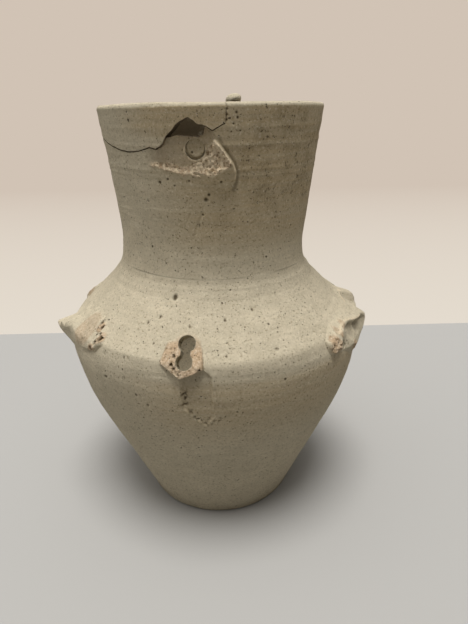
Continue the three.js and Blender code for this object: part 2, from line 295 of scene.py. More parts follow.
@dataclass(frozen=True)
class WallShape:
    """Turned outline of the jug's wall."""

    foot_radius: float = 47.5
    belly: Pair = (83.2, 112.0)
    lower_swell: float = 83.0
    shoulder: Pair = (77.2, 130.2)
    edge_radius: float = 81.2
    collar: Pair = (56.4, 151.2)
    throat: Pair = (52.3, 172.0)
    flare_height: float = 178.0
    rim: Pair = (60.0, 237.0)
    thickness: float = 6.0
    rim_lean: float = 0.008
    foot_shift: float = 0.9
    side_swell: float = 0.05
    swell_start: Pair = (25.0, 88.0)
    swell_end: Pair = (112.0, 130.0)
    side_shift: float = -0.9
    shift_start: Pair = (95.0, 125.0)
    shift_end: Pair = (160.0, 185.0)
    level_zone: float = 14.0
    bend_steps: int = 80
    lean_steps: int = 600
    length_steps: int = 400

    @functools.cached_property
    def outline(self) -> tuple[Field, Field]:
        """Radius and height of closely spaced points from the foot to the rim."""
        slope = (self.collar[1] - self.shoulder[1]) / (self.collar[0] - self.shoulder[0])

        def on_cone(radius: float) -> Pair:
            """Point of the shoulder's cone at a radius."""
            return radius, self.shoulder[1] + (radius - self.shoulder[0]) * slope

        bends = (
            ((self.foot_radius, 0.0), (self.belly[0], self.lower_swell), self.belly),
            (self.belly, on_cone(self.belly[0]), on_cone(self.edge_radius)),
            (self.collar, on_cone(self.throat[0]), self.throat),
            (self.throat, (self.throat[0], self.flare_height), self.rim),
        )
        part = np.linspace(0.0, 1.0, self.bend_steps)[:, None]
        runs = []
        for start, through, end in (np.array(bend) for bend in bends):
            runs.append((1 - part) ** 2 * start + 2 * part * (1 - part) * through + part**2 * end)
        points = np.concatenate(runs)
        _, kept = np.unique(points[:, 1], return_index=True)
        return points[kept, 0], points[kept, 1]

    @functools.cached_property
    def outward(self) -> tuple[Field, Field, Field]:
        """Heights, and the outward and upward parts of the wall's direction there, level at the rim."""
        heights = np.linspace(0.0, self.rim[1], self.lean_steps)
        lean = np.gradient(self.radius(heights), heights)
        lean *= 1.0 - smooth_step(self.rim[1] - self.level_zone, self.rim[1], heights)
        length = np.hypot(1.0, lean)
        return heights, 1.0 / length, -lean / length

    def radius(self, height: Field) -> Field:
        """Outer radius at heights."""
        radii, heights = self.outline
        return np.interp(height, heights, radii)

    def heights_between(self, low: float, high: float, step: float) -> Field:
        """Heights that are evenly spaced along the wall.

        Args:
            low: First height.
            high: Last height.
            step: Distance along the wall.

        Returns:
            Heights from low to high.
        """
        heights = np.linspace(low, high, self.length_steps)
        lengths = np.hypot(np.diff(heights), np.diff(self.radius(heights)))
        along = np.concatenate([[0.0], np.cumsum(lengths)])
        count = max(2, round(along[-1] / step) + 1)
        return np.interp(np.linspace(0.0, along[-1], count), along, heights)

    def turned(self, angle: Field, radius: Field, height: Field) -> Field:
        """Points round the axis, with the potter's slight lean and the belly a little wider from side to side.

        Args:
            angle: Angles round the axis.
            radius: Distances from the axis.
            height: Heights.

        Returns:
            Points with three coordinates in the last axis.
        """
        turn = np.radians(angle)
        swell = window(self.swell_start, self.swell_end, height)
        x, y = radius * np.sin(turn) * (1.0 + self.side_swell * swell), -radius * np.cos(turn)
        lift = self.rim_lean * x * np.clip((height - self.throat[1]) / (self.rim[1] - self.throat[1]), 0.0, 1.0)
        drift = self.foot_shift * np.clip(1.0 - height / self.belly[1], 0.0, 1.0)
        drift = drift + self.side_shift * window(self.shift_start, self.shift_end, height) * np.sin(turn) ** 2
        return np.stack(np.broadcast_arrays(x + drift, y, height + lift), -1)

    def place(self, angle: Field, height: Field, out: Field | float = 0.0) -> Field:
        """Points on the wall, moved out from it.

        Args:
            angle: Angles round the axis.
            height: Heights on the outer face.
            out: Distances out from the outer face.

        Returns:
            Points with three coordinates in the last axis.
        """
        heights, level, rise = self.outward
        radius = self.radius(height) + out * np.interp(height, heights, level)
        return self.turned(angle, radius, height + out * np.interp(height, heights, rise))

    def within(self, angle: Field, height: Field, out: Field | float = 0.0) -> Field:
        """Points on the inner face, level with the same heights on the outer face.

        Args:
            angle: Angles round the axis.
            height: Heights.
            out: Distances out from the inner face.

        Returns:
            Points with three coordinates in the last axis.
        """
        heights, level, _ = self.outward
        deep = (self.thickness - out) / np.interp(height, heights, level)
        return self.turned(angle, self.radius(height) - deep, height)

    def across(self, angle: Field, height: Field, middle: float) -> Field:
        """Distance round the wall from an angle."""
        return np.radians(angle - middle) * self.radius(height)

    def reach(self, angle: Field, height: Field, middle: float, level: float) -> Field:
        """Distance over the wall from a place."""
        return np.hypot(self.across(angle, height, middle), height - level)


@dataclass(frozen=True)
class ThrownSurface:
    """Marks that throwing, handling and wear left on the wall, as distances out from its outline.

    Lumps and ridges hold a size and a depth, and rings a height, a width and an amount. Dents hold an angle,
    a height, a radius and a depth, and scratches their two ends and a depth.
    """

    wall: WallShape
    noise: ClayNoise
    handle_angle: float = -10.0
    lumps: Outline = ((46.0, 0.34), (14.0, 0.14), (4.0, 0.05))
    ridges: Outline = ((3.4, 0.1), (1.53, 0.06))
    ridge_squeeze: float = 0.06
    rings: Spots = (
        (229.0, 1.2, 0.22), (221.5, 0.9, 0.34), (210.5, 1.1, 0.34), (207.6, 0.9, 0.26), (158.4, 0.45, -0.3),
        (152.4, 0.9, 0.35), (61.5, 1.0, -0.3),
    )
    ring_wander: float = 1.2
    inner_lump: float = 0.3
    inner_squeeze: float = 0.05
    # Strength of the painted shade inside the neck.
    inner_shade: float = 0.95
    # Strength of the painted shade under the shoulder's edge.
    belly_shade: float = 0.34
    dents: Places = (
        (-20.4, 149.4, 1.4, 0.9), (-24.8, 141.5, 0.7, 0.6), (-29.5, 138.4, 0.7, 0.6), (-24.0, 131.4, 0.6, 0.6),
        (-42.4, 122.1, 0.8, 0.7), (-33.5, 123.6, 0.6, 0.6), (-41.6, 109.2, 0.8, 0.7), (-28.6, 104.0, 0.7, 0.7),
        (-24.6, 99.0, 0.7, 0.7), (-11.0, 138.8, 0.6, 0.5), (3.6, 141.2, 0.7, 0.6), (3.2, 128.2, 0.6, 0.6),
        (16.4, 144.4, 0.7, 0.6), (21.9, 128.6, 0.7, 0.6), (-3.7, 197.3, 1.1, 0.8), (-2.2, 199.6, 0.8, 0.6),
        (-5.6, 190.2, 0.6, 0.6), (-7.6, 184.8, 0.5, 0.5), (-10.2, 180.3, 0.6, 0.6), (-26.6, 205.0, 0.8, 0.6),
        (-22.0, 206.6, 0.6, 0.5), (3.6, 205.6, 0.6, 0.6), (-11.4, 206.0, 0.5, 0.5), (6.3, 236.0, 0.5, 0.5),
        (6.2, 233.8, 0.6, 0.6), (6.1, 231.8, 0.6, 0.6), (10.2, 234.6, 0.6, 0.5), (10.8, 232.6, 0.6, 0.5),
        (9.0, 230.2, 0.5, 0.5),
    )
    dent_soil: float = 0.9
    scratches: tuple[tuple[Pair, Pair, float], ...] = (
        ((-4.3, 195.0), (-7.8, 186.0), 0.3), ((-7.8, 186.0), (-10.2, 180.3), 0.22),
        ((-12.0, 190.0), (-14.5, 185.5), 0.2), ((-10.5, 175.0), (-7.2, 171.5), 0.25),
        ((-6.0, 174.0), (-9.4, 170.0), 0.25), ((-55.0, 146.0), (-52.0, 141.0), -0.18),
        ((-52.0, 141.0), (-46.0, 137.6), -0.18),
    )
    scratch_width: float = 0.55
    tail_bed: Outline = (
        (-2.2, 119.5), (-2.6, 100.6), (3.6, 93.0), (7.5, 88.8), (10.4, 92.4), (12.0, 96.0), (11.8, 119.0),
        (7.2, 123.0),
    )
    bed_depth: float = 1.15
    bed_lips: tuple[Outline, ...] = (((12.8, 121.0), (12.6, 103.0)), ((-3.3, 116.0), (-3.4, 103.0)))
    lip_rise: float = 0.42
    bed_rubble: Outline = ((-1.6, 110.5), (-1.8, 101.4), (3.6, 94.4), (8.6, 90.8), (13.5, 93.6))
    rubble_width: float = 1.8
    # Path of a painted shadow line beside the right edge of the handle root on the neck.
    root_shade: Outline = (
        (13.1, 224.6), (15.2, 220.8), (17.5, 217.6), (20.2, 213.2), (21.3, 209.2), (20.6, 205.0),
        (19.0, 201.6),
    )

    def outside(self, angle: Field, height: Field) -> Field:
        """Relief of the outer face.

        Args:
            angle: Angles round the axis.
            height: Heights.

        Returns:
            Distances out from the outline.
        """
        points, noise = self.wall.place(angle, height), self.noise
        relief = sum(depth * noise.at(points, size) for size, depth in self.lumps)
        relief += sum(depth * noise.drawn(points, size, self.ridge_squeeze) for size, depth in self.ridges)
        wander = self.ring_wander * noise.at(points, 60.0)
        fading = 0.6 + 0.4 * noise.at(points, 35.0)
        for level, width, amount in self.rings:
            relief += amount * fading * bell(height - level - wander, width)
        return relief + self.marks(angle, height) + self.tail(angle, height, points)

    def marks(self, angle: Field, height: Field) -> Field:
        """Dents and scratches near the handle's line.

        Args:
            angle: Angles round the axis.
            height: Heights.

        Returns:
            Distances out from the outline.
        """
        relief = np.zeros(np.broadcast(angle, height).shape)
        for middle, level, radius, depth in self.dents:
            relief -= depth * bell(self.wall.reach(angle, height, middle, level), radius)
        for (middle, level), (end, end_level), depth in self.scratches:
            far = math.radians(end - middle) * float(self.wall.radius(end_level))
            line = ((0.0, level), (far, end_level))
            gap = path_distance(self.wall.across(angle, height, middle), height, line)
            relief -= depth * bell(gap, self.scratch_width)
        return relief

    def tail(self, angle: Field, height: Field, points: Field) -> Field:
        """Shallow bed under the stump, where the handle's tail was pressed on, with its smeared edges.

        Args:
            angle: Angles round the axis.
            height: Heights.
            points: The places as points in space.

        Returns:
            Distances out from the outline.
        """
        across = self.wall.across(angle, height, self.handle_angle)
        ragged = 0.5 * self.noise.rough(points, 2.4) * smooth_step(107.0, 97.0, height)
        depth = inside_depth(across + ragged, height + ragged, self.tail_bed)
        fading = 0.45 + 0.55 * smooth_step(90.0, 106.0, height)
        relief = -self.bed_depth * fading * smooth_step(-0.2, 0.5, depth)
        smeared = self.lip_rise * smooth_step(-0.5, 0.1, self.noise.at(points, 5.0))
        for lip in self.bed_lips:
            relief += smeared * bell(path_distance(across, height, lip), 0.6)
        return relief - 0.7 * self.rubble(across, height, points)

    def rubble(self, across: Field, height: Field, points: Field) -> Field:
        """Crumbled pits along the lower edge of the bed."""
        near = bell(path_distance(across, height, self.bed_rubble), self.rubble_width)
        return near * smooth_step(0.0, 0.35, self.noise.at(points, 1.1))

    def soil_and_shade(self, angle: Field, height: Field) -> Field:
        """How dark the outer face is made: soiling in dents and crumbled pits, painted shade in the recessed
        bed under the stump, and a painted shadow line beside the right edge of the handle root.

        Args:
            angle: Angles round the axis.
            height: Heights.

        Returns:
            Values between 0 and 1.
        """
        across = self.wall.across(angle, height, self.handle_angle)
        # Painted shade in the recessed bed under the stump.
        pressed = smooth_step(0.0, 0.8, inside_depth(across, height, self.tail_bed))
        pressed = pressed * smooth_step(92.0, 108.0, height)
        dark = np.maximum(0.12 * pressed, 0.85 * self.rubble(across, height, self.wall.place(angle, height)))
        for middle, level, radius, _ in self.dents:
            reach = self.wall.reach(angle, height, middle, level)
            dark = np.maximum(dark, self.dent_soil * (1.0 - smooth_step(0.55 * radius, 1.15 * radius, reach)))
        # Painted shadow beside the right edge of the handle root.
        return np.maximum(dark, 0.5 * bell(path_distance(across, height, self.root_shade), 0.8))

    def inside(self, angle: Field, height: Field) -> Field:
        """Relief of the inner face, with deeper throwing ridges.

        Args:
            angle: Angles round the axis.
            height: Heights.

        Returns:
            Distances out from the inner face.
        """
        points = self.wall.within(angle, height)
        ridges = self.noise.drawn(points, 6.5, self.inner_squeeze)
        return self.inner_lump * self.noise.at(points, 40.0) + self.inner_lump * ridges

    def inner_shading(self, height: Field) -> Field:
        """Painted shade on the inner face: darkest in the neck, and none at the belly."""
        return self.inner_shade * smooth_step(118.0, 168.0, height)

    def stain_and_shade(self, angle: Field, height: Field) -> Field:
        """How brown the neck is made: real stains spotted at its upper right, light brown in front that partly
        paints warm light thrown up from the shoulder, and brown on the sherd that partly paints its shade.

        Args:
            angle: Angles round the axis.
            height: Heights.

        Returns:
            Values between 0 and 1.
        """
        spotted = window((4.0, 22.0), (70.0, 100.0), angle) * smooth_step(178.0, 205.0, height)
        spotted = spotted * (1.0 - 0.4 * smooth_step(228.0, 238.0, height))
        # Painted shade on the right part of the sherd, with a warmer brown.
        browned_and_shaded = 0.85 * (window((-60.0, 0.0), (5.0, 9.0), angle) * smooth_step(221.0, 229.0, height))
        # Light brown on the front of the neck: partly brown clay, partly painted warm light thrown up from the
        # shoulder.
        tan_and_warm_bounce = 0.4 * window((-50.0, 0.0), (70.0, 110.0), angle) * smooth_step(160.0, 185.0, height)
        return np.maximum(np.maximum(spotted, browned_and_shaded), tan_and_warm_bounce)

    def belly_shading(self, angle: Field, height: Field) -> Field:
        """Painted shade on the front of the belly under the shoulder's edge, laid on as a brown tint."""
        facing = self.belly_shade * window((-50.0, -5.0), (55.0, 95.0), angle)
        return facing * window((60.0, 100.0), (112.0, 119.0), height)


@dataclass
class ClayMesh:
    """Points, faces and surface masks of one piece."""

    points: Field
    faces: Faces
    masks: Masks = field(default_factory=dict)

    @classmethod
    def ring(cls, points: Field, masks: Masks) -> "ClayMesh":
        """Ring over a grid of points that meets itself both ways."""
        return cls(points, grid_faces(*points.shape[:2], True, True), masks)

    @classmethod
    def bar(cls, points: Field, masks: Masks | None = None) -> "ClayMesh":
        """Closed round bar over a grid of points, with a face on each end.

        Args:
            points: Grid with one column for each line along the bar.
            masks: Surface masks.

        Returns:
            The bar's shape.
        """
        columns, rows = points.shape[:2]
        faces = grid_faces(columns, rows, True, False)
        faces.append(tuple(range(0, columns * rows, rows))[::-1])
        faces.append(tuple(range(rows - 1, columns * rows, rows)))
        return cls(points, faces, masks or {})

    def to_object(self, name: str, crease: float) -> Piece:
        """Make a smooth-shaded object in metres.

        Args:
            name: Name of the piece.
            crease: Angle from which an edge stays sharp.

        Returns:
            The new object.
        """
        mesh = bpy.data.meshes.new(name)
        mesh.from_pydata((self.points.reshape(-1, 3) * MM).tolist(), [], self.faces)
        for mask in SurfaceMask:
            layer = mesh.attributes.new(mask.value, "FLOAT", "POINT")
            if mask in self.masks:
                layer.data.foreach_set("value", self.masks[mask].astype(np.float32).ravel())
        mesh.shade_smooth()
        mesh.set_sharp_from_angle(angle=math.radians(crease))
        mesh.update()
        piece = bpy.data.objects.new(name, mesh)
        bpy.context.scene.collection.objects.link(piece)
        return piece


def opaque(colour: Any) -> Any:
    """Colour with full opacity, or a socket as it is."""
    return (*colour, 1.0) if isinstance(colour, tuple) else colour


class NodeBench:
    """Places shader nodes in a tree and joins them."""

    def __init__(self, tree: NodeTree) -> None:
        """Keep the tree."""
        self.tree = tree

    def find(self, kind: str) -> bpy.types.Node:
        """First node of a type."""
        return next(node for node in self.tree.nodes if node.type == kind)

    def join(self, value: Any, socket: Socket) -> None:
        """Link an output to an input, or set the input to a plain value.

        Args:
            value: Output socket or plain value.
            socket: The input.
        """
        if isinstance(value, Socket):
            self.tree.links.new(value, socket)
        else:
            socket.default_value = value

    def add(self, kind: str, inputs: dict[str, Any] | None = None, **settings: Any) -> bpy.types.Node:
        """Place a node.

        Args:
            kind: Blender's name of the node type.
            inputs: Values or output sockets by the name of the input.
            settings: Other settings of the node.

        Returns:
            The new node.
        """
        node = self.tree.nodes.new(kind)
        for key, value in settings.items():
            setattr(node, key, value)
        for key, value in (inputs or {}).items():
            named = [socket for socket in node.inputs if key in (socket.identifier, socket.name)]
            exact = [socket for socket in named if socket.identifier == key] or named
            self.join(value, exact[0])
        return node

    def group(self, tree: NodeTree, **values: Any) -> Socket:
        """Only output of a node group that is placed with these inputs."""
        return self.add("ShaderNodeGroup", values, node_tree=tree).outputs[0]

    def math(self, operation: str, first: Any, second: Any = 0.0) -> Socket:
        """Result of a sum on two values."""
        return self.add("ShaderNodeMath", {"Value": first, "Value_001": second}, operation=operation).outputs[0]

    def times(self, first: Any, second: Any) -> Socket:
        """Product of two values."""
        return self.math("MULTIPLY", first, second)

    def most(self, *values: Any) -> Socket:
        """Largest of several values."""
        return functools.reduce(functools.partial(self.math, "MAXIMUM"), values)

    def ramp(self, value: Any, low: Any, high: Any) -> Socket:
        """Value mapped smoothly to 0 at low and 1 at high."""
        ends = {"Value": value, "From Min": low, "From Max": high}
        return self.add("ShaderNodeMapRange", ends, interpolation_type="SMOOTHSTEP").outputs[0]

    def vector(self, operation: str, **inputs: Any) -> Socket:
        """Result of a sum on vectors."""
        return self.add("ShaderNodeVectorMath", inputs, operation=operation).outputs[0]

    def blend(self, share: Any, first: Any, second: Any) -> Socket:
        """Mix of two colours.

        Args:
            share: Share of the second colour.
            first: First colour or socket.
            second: Second colour or socket.

        Returns:
            Socket of the mixed colour.
        """
        inputs = {"Factor_Float": share, "A_Color": opaque(first), "B_Color": opaque(second)}
        node = self.add("ShaderNodeMix", inputs, data_type="RGBA")
        return next(socket for socket in node.outputs if socket.identifier == "Result_Color")

    def coats(self, ground: Any, *coats: tuple[Any, Any]) -> Any:
        """Colour under coats of other colours.

        Args:
            ground: Colour under the coats.
            coats: Share and colour of each coat, in order.

        Returns:
            Socket of the finished colour.
        """
        for share, colour in coats:
            ground = self.blend(share, ground, colour)
        return ground

    def mask(self, mask: SurfaceMask) -> Socket:
        """Mask that the mesh keeps on its points."""
        return self.add("ShaderNodeAttribute", attribute_name=mask.value).outputs["Fac"]


class ClayEffects:
    """Node groups that the clay finishes share. The first input of each is a size in millimetres."""

    def __init__(self) -> None:
        """Build each group once."""
        self.grain = self._tone("clay_grain", squeeze=1.0, detail=4.0, roughness=0.6)
        self.lines = self._tone("throwing_lines", squeeze=0.05, detail=3.0, roughness=0.55)
        self.pores, self.patches = self._pores(), self._patches()

    @staticmethod
    def _start(name: str, output: str, **inputs: float) -> tuple[NodeBench, Any, Any, Any, Any]:
        """Make a group with one value output.

        Args:
            name: Name of the group.
            output: Name of its output.
            inputs: Value inputs with their usual values.

        Returns:
            Its bench, its inputs, its output, the place on the piece, and the scale that suits the size.
        """
        tree = bpy.data.node_groups.new(name, "ShaderNodeTree")
        for key, usual in inputs.items():
            socket = tree.interface.new_socket(key, in_out="INPUT", socket_type="NodeSocketFloat")
            socket.default_value = usual
        tree.interface.new_socket(output, in_out="OUTPUT", socket_type="NodeSocketFloat")
        bench = NodeBench(tree)
        given = bench.add("NodeGroupInput").outputs
        made = bench.add("NodeGroupOutput").inputs[output]
        place = bench.add("ShaderNodeTexCoord").outputs["Object"]
        return bench, given, made, place, bench.math("DIVIDE", 1.0 / MM, given[0])

    def _tone(self, name: str, squeeze: float, detail: float, roughness: float) -> NodeTree:
        """Uneven tone of a size: sandy grain, or fine lines where it is drawn out round the wall.

        Args:
            name: Name of the group.
            squeeze: How much the places are squeezed level.
            detail: Detail of the noise.
            roughness: Usual roughness of the noise.

        Returns:
            The group.
        """
        bench, given, made, place, scale = self._start(name, "Tone", Size=1.0, Roughness=roughness)
        drawn = bench.vector("MULTIPLY", Vector=place, Vector_001=(squeeze, squeeze, 1.0))
        inputs = {"Vector": drawn, "Scale": scale, "Detail": detail, "Roughness": given["Roughness"]}
        bench.join(bench.add("ShaderNodeTexNoise", inputs).outputs["Fac"], made)
        return bench.tree

    def _pores(self) -> NodeTree:
        """Small uneven pores, one to some of the cells of a spacing.

        Returns:
            The group.
        """
        bench, given, made, place, scale = self._start("clay_pores", "Mask", Spacing=2.6, Radius=0.4, Share=0.5)
        lumps = bench.add("ShaderNodeTexNoise", {"Vector": place, "Scale": 1.2 / MM, "Detail": 2.0})
        uneven = bench.vector("SUBTRACT", Vector=lumps.outputs["Color"], Vector_001=(0.5, 0.5, 0.5))
        shift = bench.vector("SCALE", Vector=uneven, Scale=1.6 * MM)
        moved = bench.vector("ADD", Vector=place, Vector_001=shift)
        cells = bench.add("ShaderNodeTexVoronoi", {"Vector": moved, "Scale": scale}, feature="F1")
        chance = bench.add("ShaderNodeSeparateColor", {"Color": cells.outputs["Color"]})
        reach = bench.times(cells.outputs["Distance"], given["Spacing"])
        size = bench.times(given["Radius"], bench.math("ADD", chance.outputs[1], 0.35))
        dot = bench.ramp(reach, size, bench.times(size, 0.55))
        picked = bench.math("LESS_THAN", chance.outputs[0], given["Share"])
        bench.join(bench.times(dot, picked), made)
        return bench.tree

    def _patches(self) -> NodeTree:
        """Uneven patches of wear or stain that cover part of the surface.

        Returns:
            The group.
        """
        bench, given, made, place, scale = self._start("clay_patches", "Mask", Size=20.0, Cover=0.5, Edge=0.12)
        inputs = {"Vector": place, "Scale": scale, "Detail": 6.0, "Roughness": 0.62}
        tone = bench.add("ShaderNodeTexNoise", inputs).outputs["Fac"]
        middle = bench.math("SUBTRACT", 1.0, given["Cover"])
        low, high = (bench.math(way, middle, given["Edge"]) for way in ("SUBTRACT", "ADD"))
        bench.join(bench.ramp(tone, low, high), made)
        return bench.tree


@dataclass(frozen=True)
class ClayFinish:
    """Unglazed clay of one slot: its colours, and the spacing, radius and share of its pores."""

    slot: ClaySlot
    body: Colour = (0.6, 0.53, 0.39)
    pale: Colour = (0.7, 0.62, 0.465)
    dull: Colour = (0.55, 0.49, 0.365)
    pore_share: float = 0.55
    # Dark brown for stains, grain and smudges; it also deepens the painted shade under the shoulder.
    stain_and_shade: Colour = (0.2, 0.145, 0.07)
    pore: Colour = (0.07, 0.05, 0.028)
    fleck: Colour = (0.8, 0.73, 0.58)
    # Pale colour of the painted highlight on edges that catch the light, and of worn edges.
    edge: Colour = (0.83, 0.7, 0.5)
    # Brown laid on stains, and on painted shade over the belly, the neck and the sherd.
    tan_and_shade: Colour = (0.56, 0.45, 0.285)
    # Near black for soiling in pits, and for painted shade in creases, cracks, recesses and inside the neck.
    soil_and_shade: Colour = (0.06, 0.04, 0.016)
    broken: Colour = (0.5, 0.39, 0.27)
    broken_warm: Colour = (0.55, 0.405, 0.265)
    broken_pale: Colour = (0.76, 0.65, 0.49)
    pores: Spots = ((2.3, 0.38, 0.8), (1.35, 0.26, 0.9), (6.4, 0.66, 0.45))
    relief: float = 0.35
    gloss: float = 0.22

    def material(self, effects: ClayEffects) -> bpy.types.Material:
        """Build the material.

        Args:
            effects: The shared node groups.

        Returns:
            The new material.
        """
        made = bpy.data.materials.new(self.slot.value)
        made.use_nodes = True
        bench = NodeBench(made.node_tree)
        shader = bench.find("BSDF_PRINCIPLED")
        shader.inputs["Specular IOR Level"].default_value = self.gloss

        grain = bench.group(effects.grain, Size=0.9, Roughness=0.7)
        cloud = bench.group(effects.grain, Size=9.0, Roughness=0.65)
        sand = bench.group(effects.grain, Size=1.2, Roughness=0.8)
        crumbs = bench.group(effects.grain, Size=1.5, Roughness=0.6)
        lines = bench.group(effects.lines, Size=1.7)
        worn = bench.group(effects.patches, Size=34.0, Cover=0.5, Edge=0.14)
        smudge = bench.group(effects.patches, Size=9.0, Cover=0.46, Edge=0.12)
        specks = bench.group(effects.patches, Size=2.0, Cover=0.38, Edge=0.05)
        grit = bench.group(effects.patches, Size=1.3, Cover=0.31, Edge=0.03)
        pores = bench.most(
            *(
                bench.group(effects.pores, Spacing=spacing, Radius=radius, Share=share * self.pore_share)
                for spacing, radius, share in self.pores
            )
        )
        broken, stain_and_shade_share, edge, soil_and_shade = (bench.mask(mask) for mask in SurfaceMask)
        spotted = bench.times(bench.ramp(stain_and_shade_share, 0.4, 0.9), specks)
        dotted = bench.math("MINIMUM", bench.times(spotted, bench.math("ADD", smudge, 0.25)), 0.8)
        fresh = bench.coats(
            self.broken,
            (bench.ramp(cloud, 0.4, 0.62), self.broken_warm),
            (bench.times(bench.ramp(crumbs, 0.53, 0.66), 0.7), self.broken_pale),
            (bench.times(bench.ramp(crumbs, 0.44, 0.34), 0.75), self.stain_and_shade),
        )
        colour = bench.coats(
            self.body,
            (bench.ramp(cloud, 0.3, 0.7), self.pale),
            (bench.times(worn, 0.45), self.dull),
            # Brown over stains and over painted shade.
            (bench.ramp(stain_and_shade_share, 0.0, 0.55), self.tan_and_shade),
            (bench.times(bench.ramp(lines, 0.62, 0.4), 0.3), self.dull),
            # Dark smudges over stains and over painted shade.
            (bench.times(stain_and_shade_share, bench.times(smudge, 0.35)), self.stain_and_shade),
            (bench.times(bench.ramp(sand, 0.45, 0.33), 0.7), self.stain_and_shade),
            (bench.times(bench.ramp(sand, 0.55, 0.67), 0.65), self.fleck),
            (broken, fresh),
            # Painted highlight on edges that catch the light, with worn pale edges.
            (bench.times(edge, bench.ramp(crumbs, 0.4, 0.52)), self.edge),
            # Soiling in pits, and painted shade in creases, cracks, recesses and inside the neck.
            (bench.times(soil_and_shade, bench.ramp(cloud, 0.1, 0.45)), self.soil_and_shade),
            (bench.most(bench.times(pores, 0.88), dotted, bench.times(grit, 0.7)), self.pore),
        )
        bench.join(colour, shader.inputs["Base Color"])
        matt = bench.add("ShaderNodeMapRange", {"Value": grain, "To Min": 0.8, "To Max": 1.0})
        bench.join(matt.outputs[0], shader.inputs["Roughness"])

        coarse = bench.times(crumbs, bench.math("ADD", bench.times(broken, 1.6), 0.12))
        height = bench.math("ADD", bench.times(sand, 0.9), coarse)
        height = bench.math("ADD", height, bench.times(lines, 0.22))
        height = bench.math("SUBTRACT", height, bench.times(pores, 0.9))
        bump = bench.add("ShaderNodeBump", {"Height": height, "Distance": self.relief * MM, "Strength": 1.0})
        bench.join(bump.outputs["Normal"], shader.inputs["Normal"])
        return made


FINISHES = (
    ClayFinish(ClaySlot.FIRED),
    ClayFinish(ClaySlot.BROKEN, pore_share=0.4),
    ClayFinish(ClaySlot.TENON, (0.5, 0.435, 0.31), (0.6, 0.525, 0.39), (0.44, 0.385, 0.28), 0.3),
)


@dataclass
class Workshop:
    """What every sub-assembly shares: the wall, its surface, the noise and the finishes."""

    wall: WallShape
    surface: ThrownSurface
    noise: ClayNoise
    materials: dict[ClaySlot, bpy.types.Material]
    sliver: float = 0.02

    @classmethod
    def opened(cls, seed: int) -> "Workshop":
        """Set up the wall and the finishes.

        Args:
            seed: Seed of the noise.

        Returns:
            A workshop that is ready for the sub-assemblies.
        """
        wall, noise, effects = WallShape(), ClayNoise(seed), ClayEffects()
        materials = {finish.slot: finish.material(effects) for finish in FINISHES}
        return cls(wall, ThrownSurface(wall, noise), noise, materials)

    def fit(self, mesh: ClayMesh, node: str, slot: ClaySlot, crease: float = CREASE) -> Piece:
        """Make a piece, dress it and let it stand for its node.

        Args:
            mesh: Shape of the piece.
            node: CAD node that it stands for.
            slot: Material slot that it takes its finish from.
            crease: Angle from which an edge stays sharp.

        Returns:
            The piece.
        """
        piece = mesh.to_object(f"clay_{node}", crease)
        piece.data.materials.append(self.materials[slot])
        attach(piece, "root")
        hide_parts(node)
        LOG.info("%s: %d faces", piece.name, len(piece.data.polygons))
        return piece

    def carve(self, piece: Piece, cutters: list[ClayMesh], crease: float = CREASE) -> None:
        """Cut holes in a piece, and clear the slivers along the cut.

        Args:
            piece: Piece to cut.
            cutters: Closed shapes to take away.
            crease: Angle from which an edge stays sharp.
        """
        tools = [cutter.to_object("cutter", crease) for cutter in cutters]
        for tool in tools:
            cut = piece.modifiers.new("cut", "BOOLEAN")
            cut.operation, cut.solver, cut.object = "DIFFERENCE", "EXACT", tool
        shapes = bpy.context.evaluated_depsgraph_get()
        carved = bpy.data.meshes.new_from_object(piece.evaluated_get(shapes))
        piece.modifiers.clear()
        piece.data = carved
        trimmed = bmesh.new()
        trimmed.from_mesh(carved)
        bmesh.ops.triangulate(trimmed, faces=trimmed.faces)
        bmesh.ops.remove_doubles(trimmed, verts=trimmed.verts, dist=self.sliver * MM)
        bmesh.ops.dissolve_degenerate(trimmed, dist=self.sliver * MM, edges=trimmed.edges)
        trimmed.to_mesh(carved)
        trimmed.free()
        carved.set_sharp_from_angle(angle=math.radians(crease))
        for tool in tools:
            bpy.data.objects.remove(tool)

    @staticmethod
    def sheet(across: Pair, up: Pair, step: float) -> list[Field]:
        """Two grids between the ends of two ranges, spaced by about a step."""
        return grid(*(np.linspace(*ends, round((ends[1] - ends[0]) / step) + 1) for ends in (across, up)))

    def patch(self, middle: float, across: Pair, up: Pair, step: float) -> tuple[Field, Field, Field]:
        """Grids of distance round the wall from an angle, of height and of angle."""
        over, height = self.sheet(across, up, step)
        return over, height, middle + np.degrees(over / self.wall.radius(height))

    def stand_out(self, angle: Field, height: Field, out: Field) -> Field:
        """Points that stand out level from the thrown surface.

        Args:
            angle: Angles round the axis.
            height: Heights on the wall.
            out: Level distances out from the surface.

        Returns:
            Points with three coordinates in the last axis.
        """
        turn = np.radians(angle)
        level = np.stack([np.sin(turn), -np.cos(turn), np.zeros(turn.shape)], -1)
        return self.wall.place(angle, height, self.surface.outside(angle, height)) + out[..., None] * level

    def lump(self, angle: Field, height: Field, out: Field, masks: Masks) -> ClayMesh:
        """Closed lump over a grid of the wall, with its edges and its back buried in the wall.

        Args:
            angle: Grid of angles.
            height: Grid of heights.
            out: Grid of level distances out from the surface.
            masks: Surface masks.

        Returns:
            The lump's shape.
        """
        columns, rows = angle.shape
        low = np.arange(columns) * rows
        high = low + rows - 1
        back = np.stack([low[:-1], high[:-1], high[1:], low[1:]], -1)
        faces = grid_faces(columns, rows, False, False) + [tuple(face) for face in back.tolist()]
        return ClayMesh(self.stand_out(angle, height, out), faces + end_faces(columns, rows), masks)


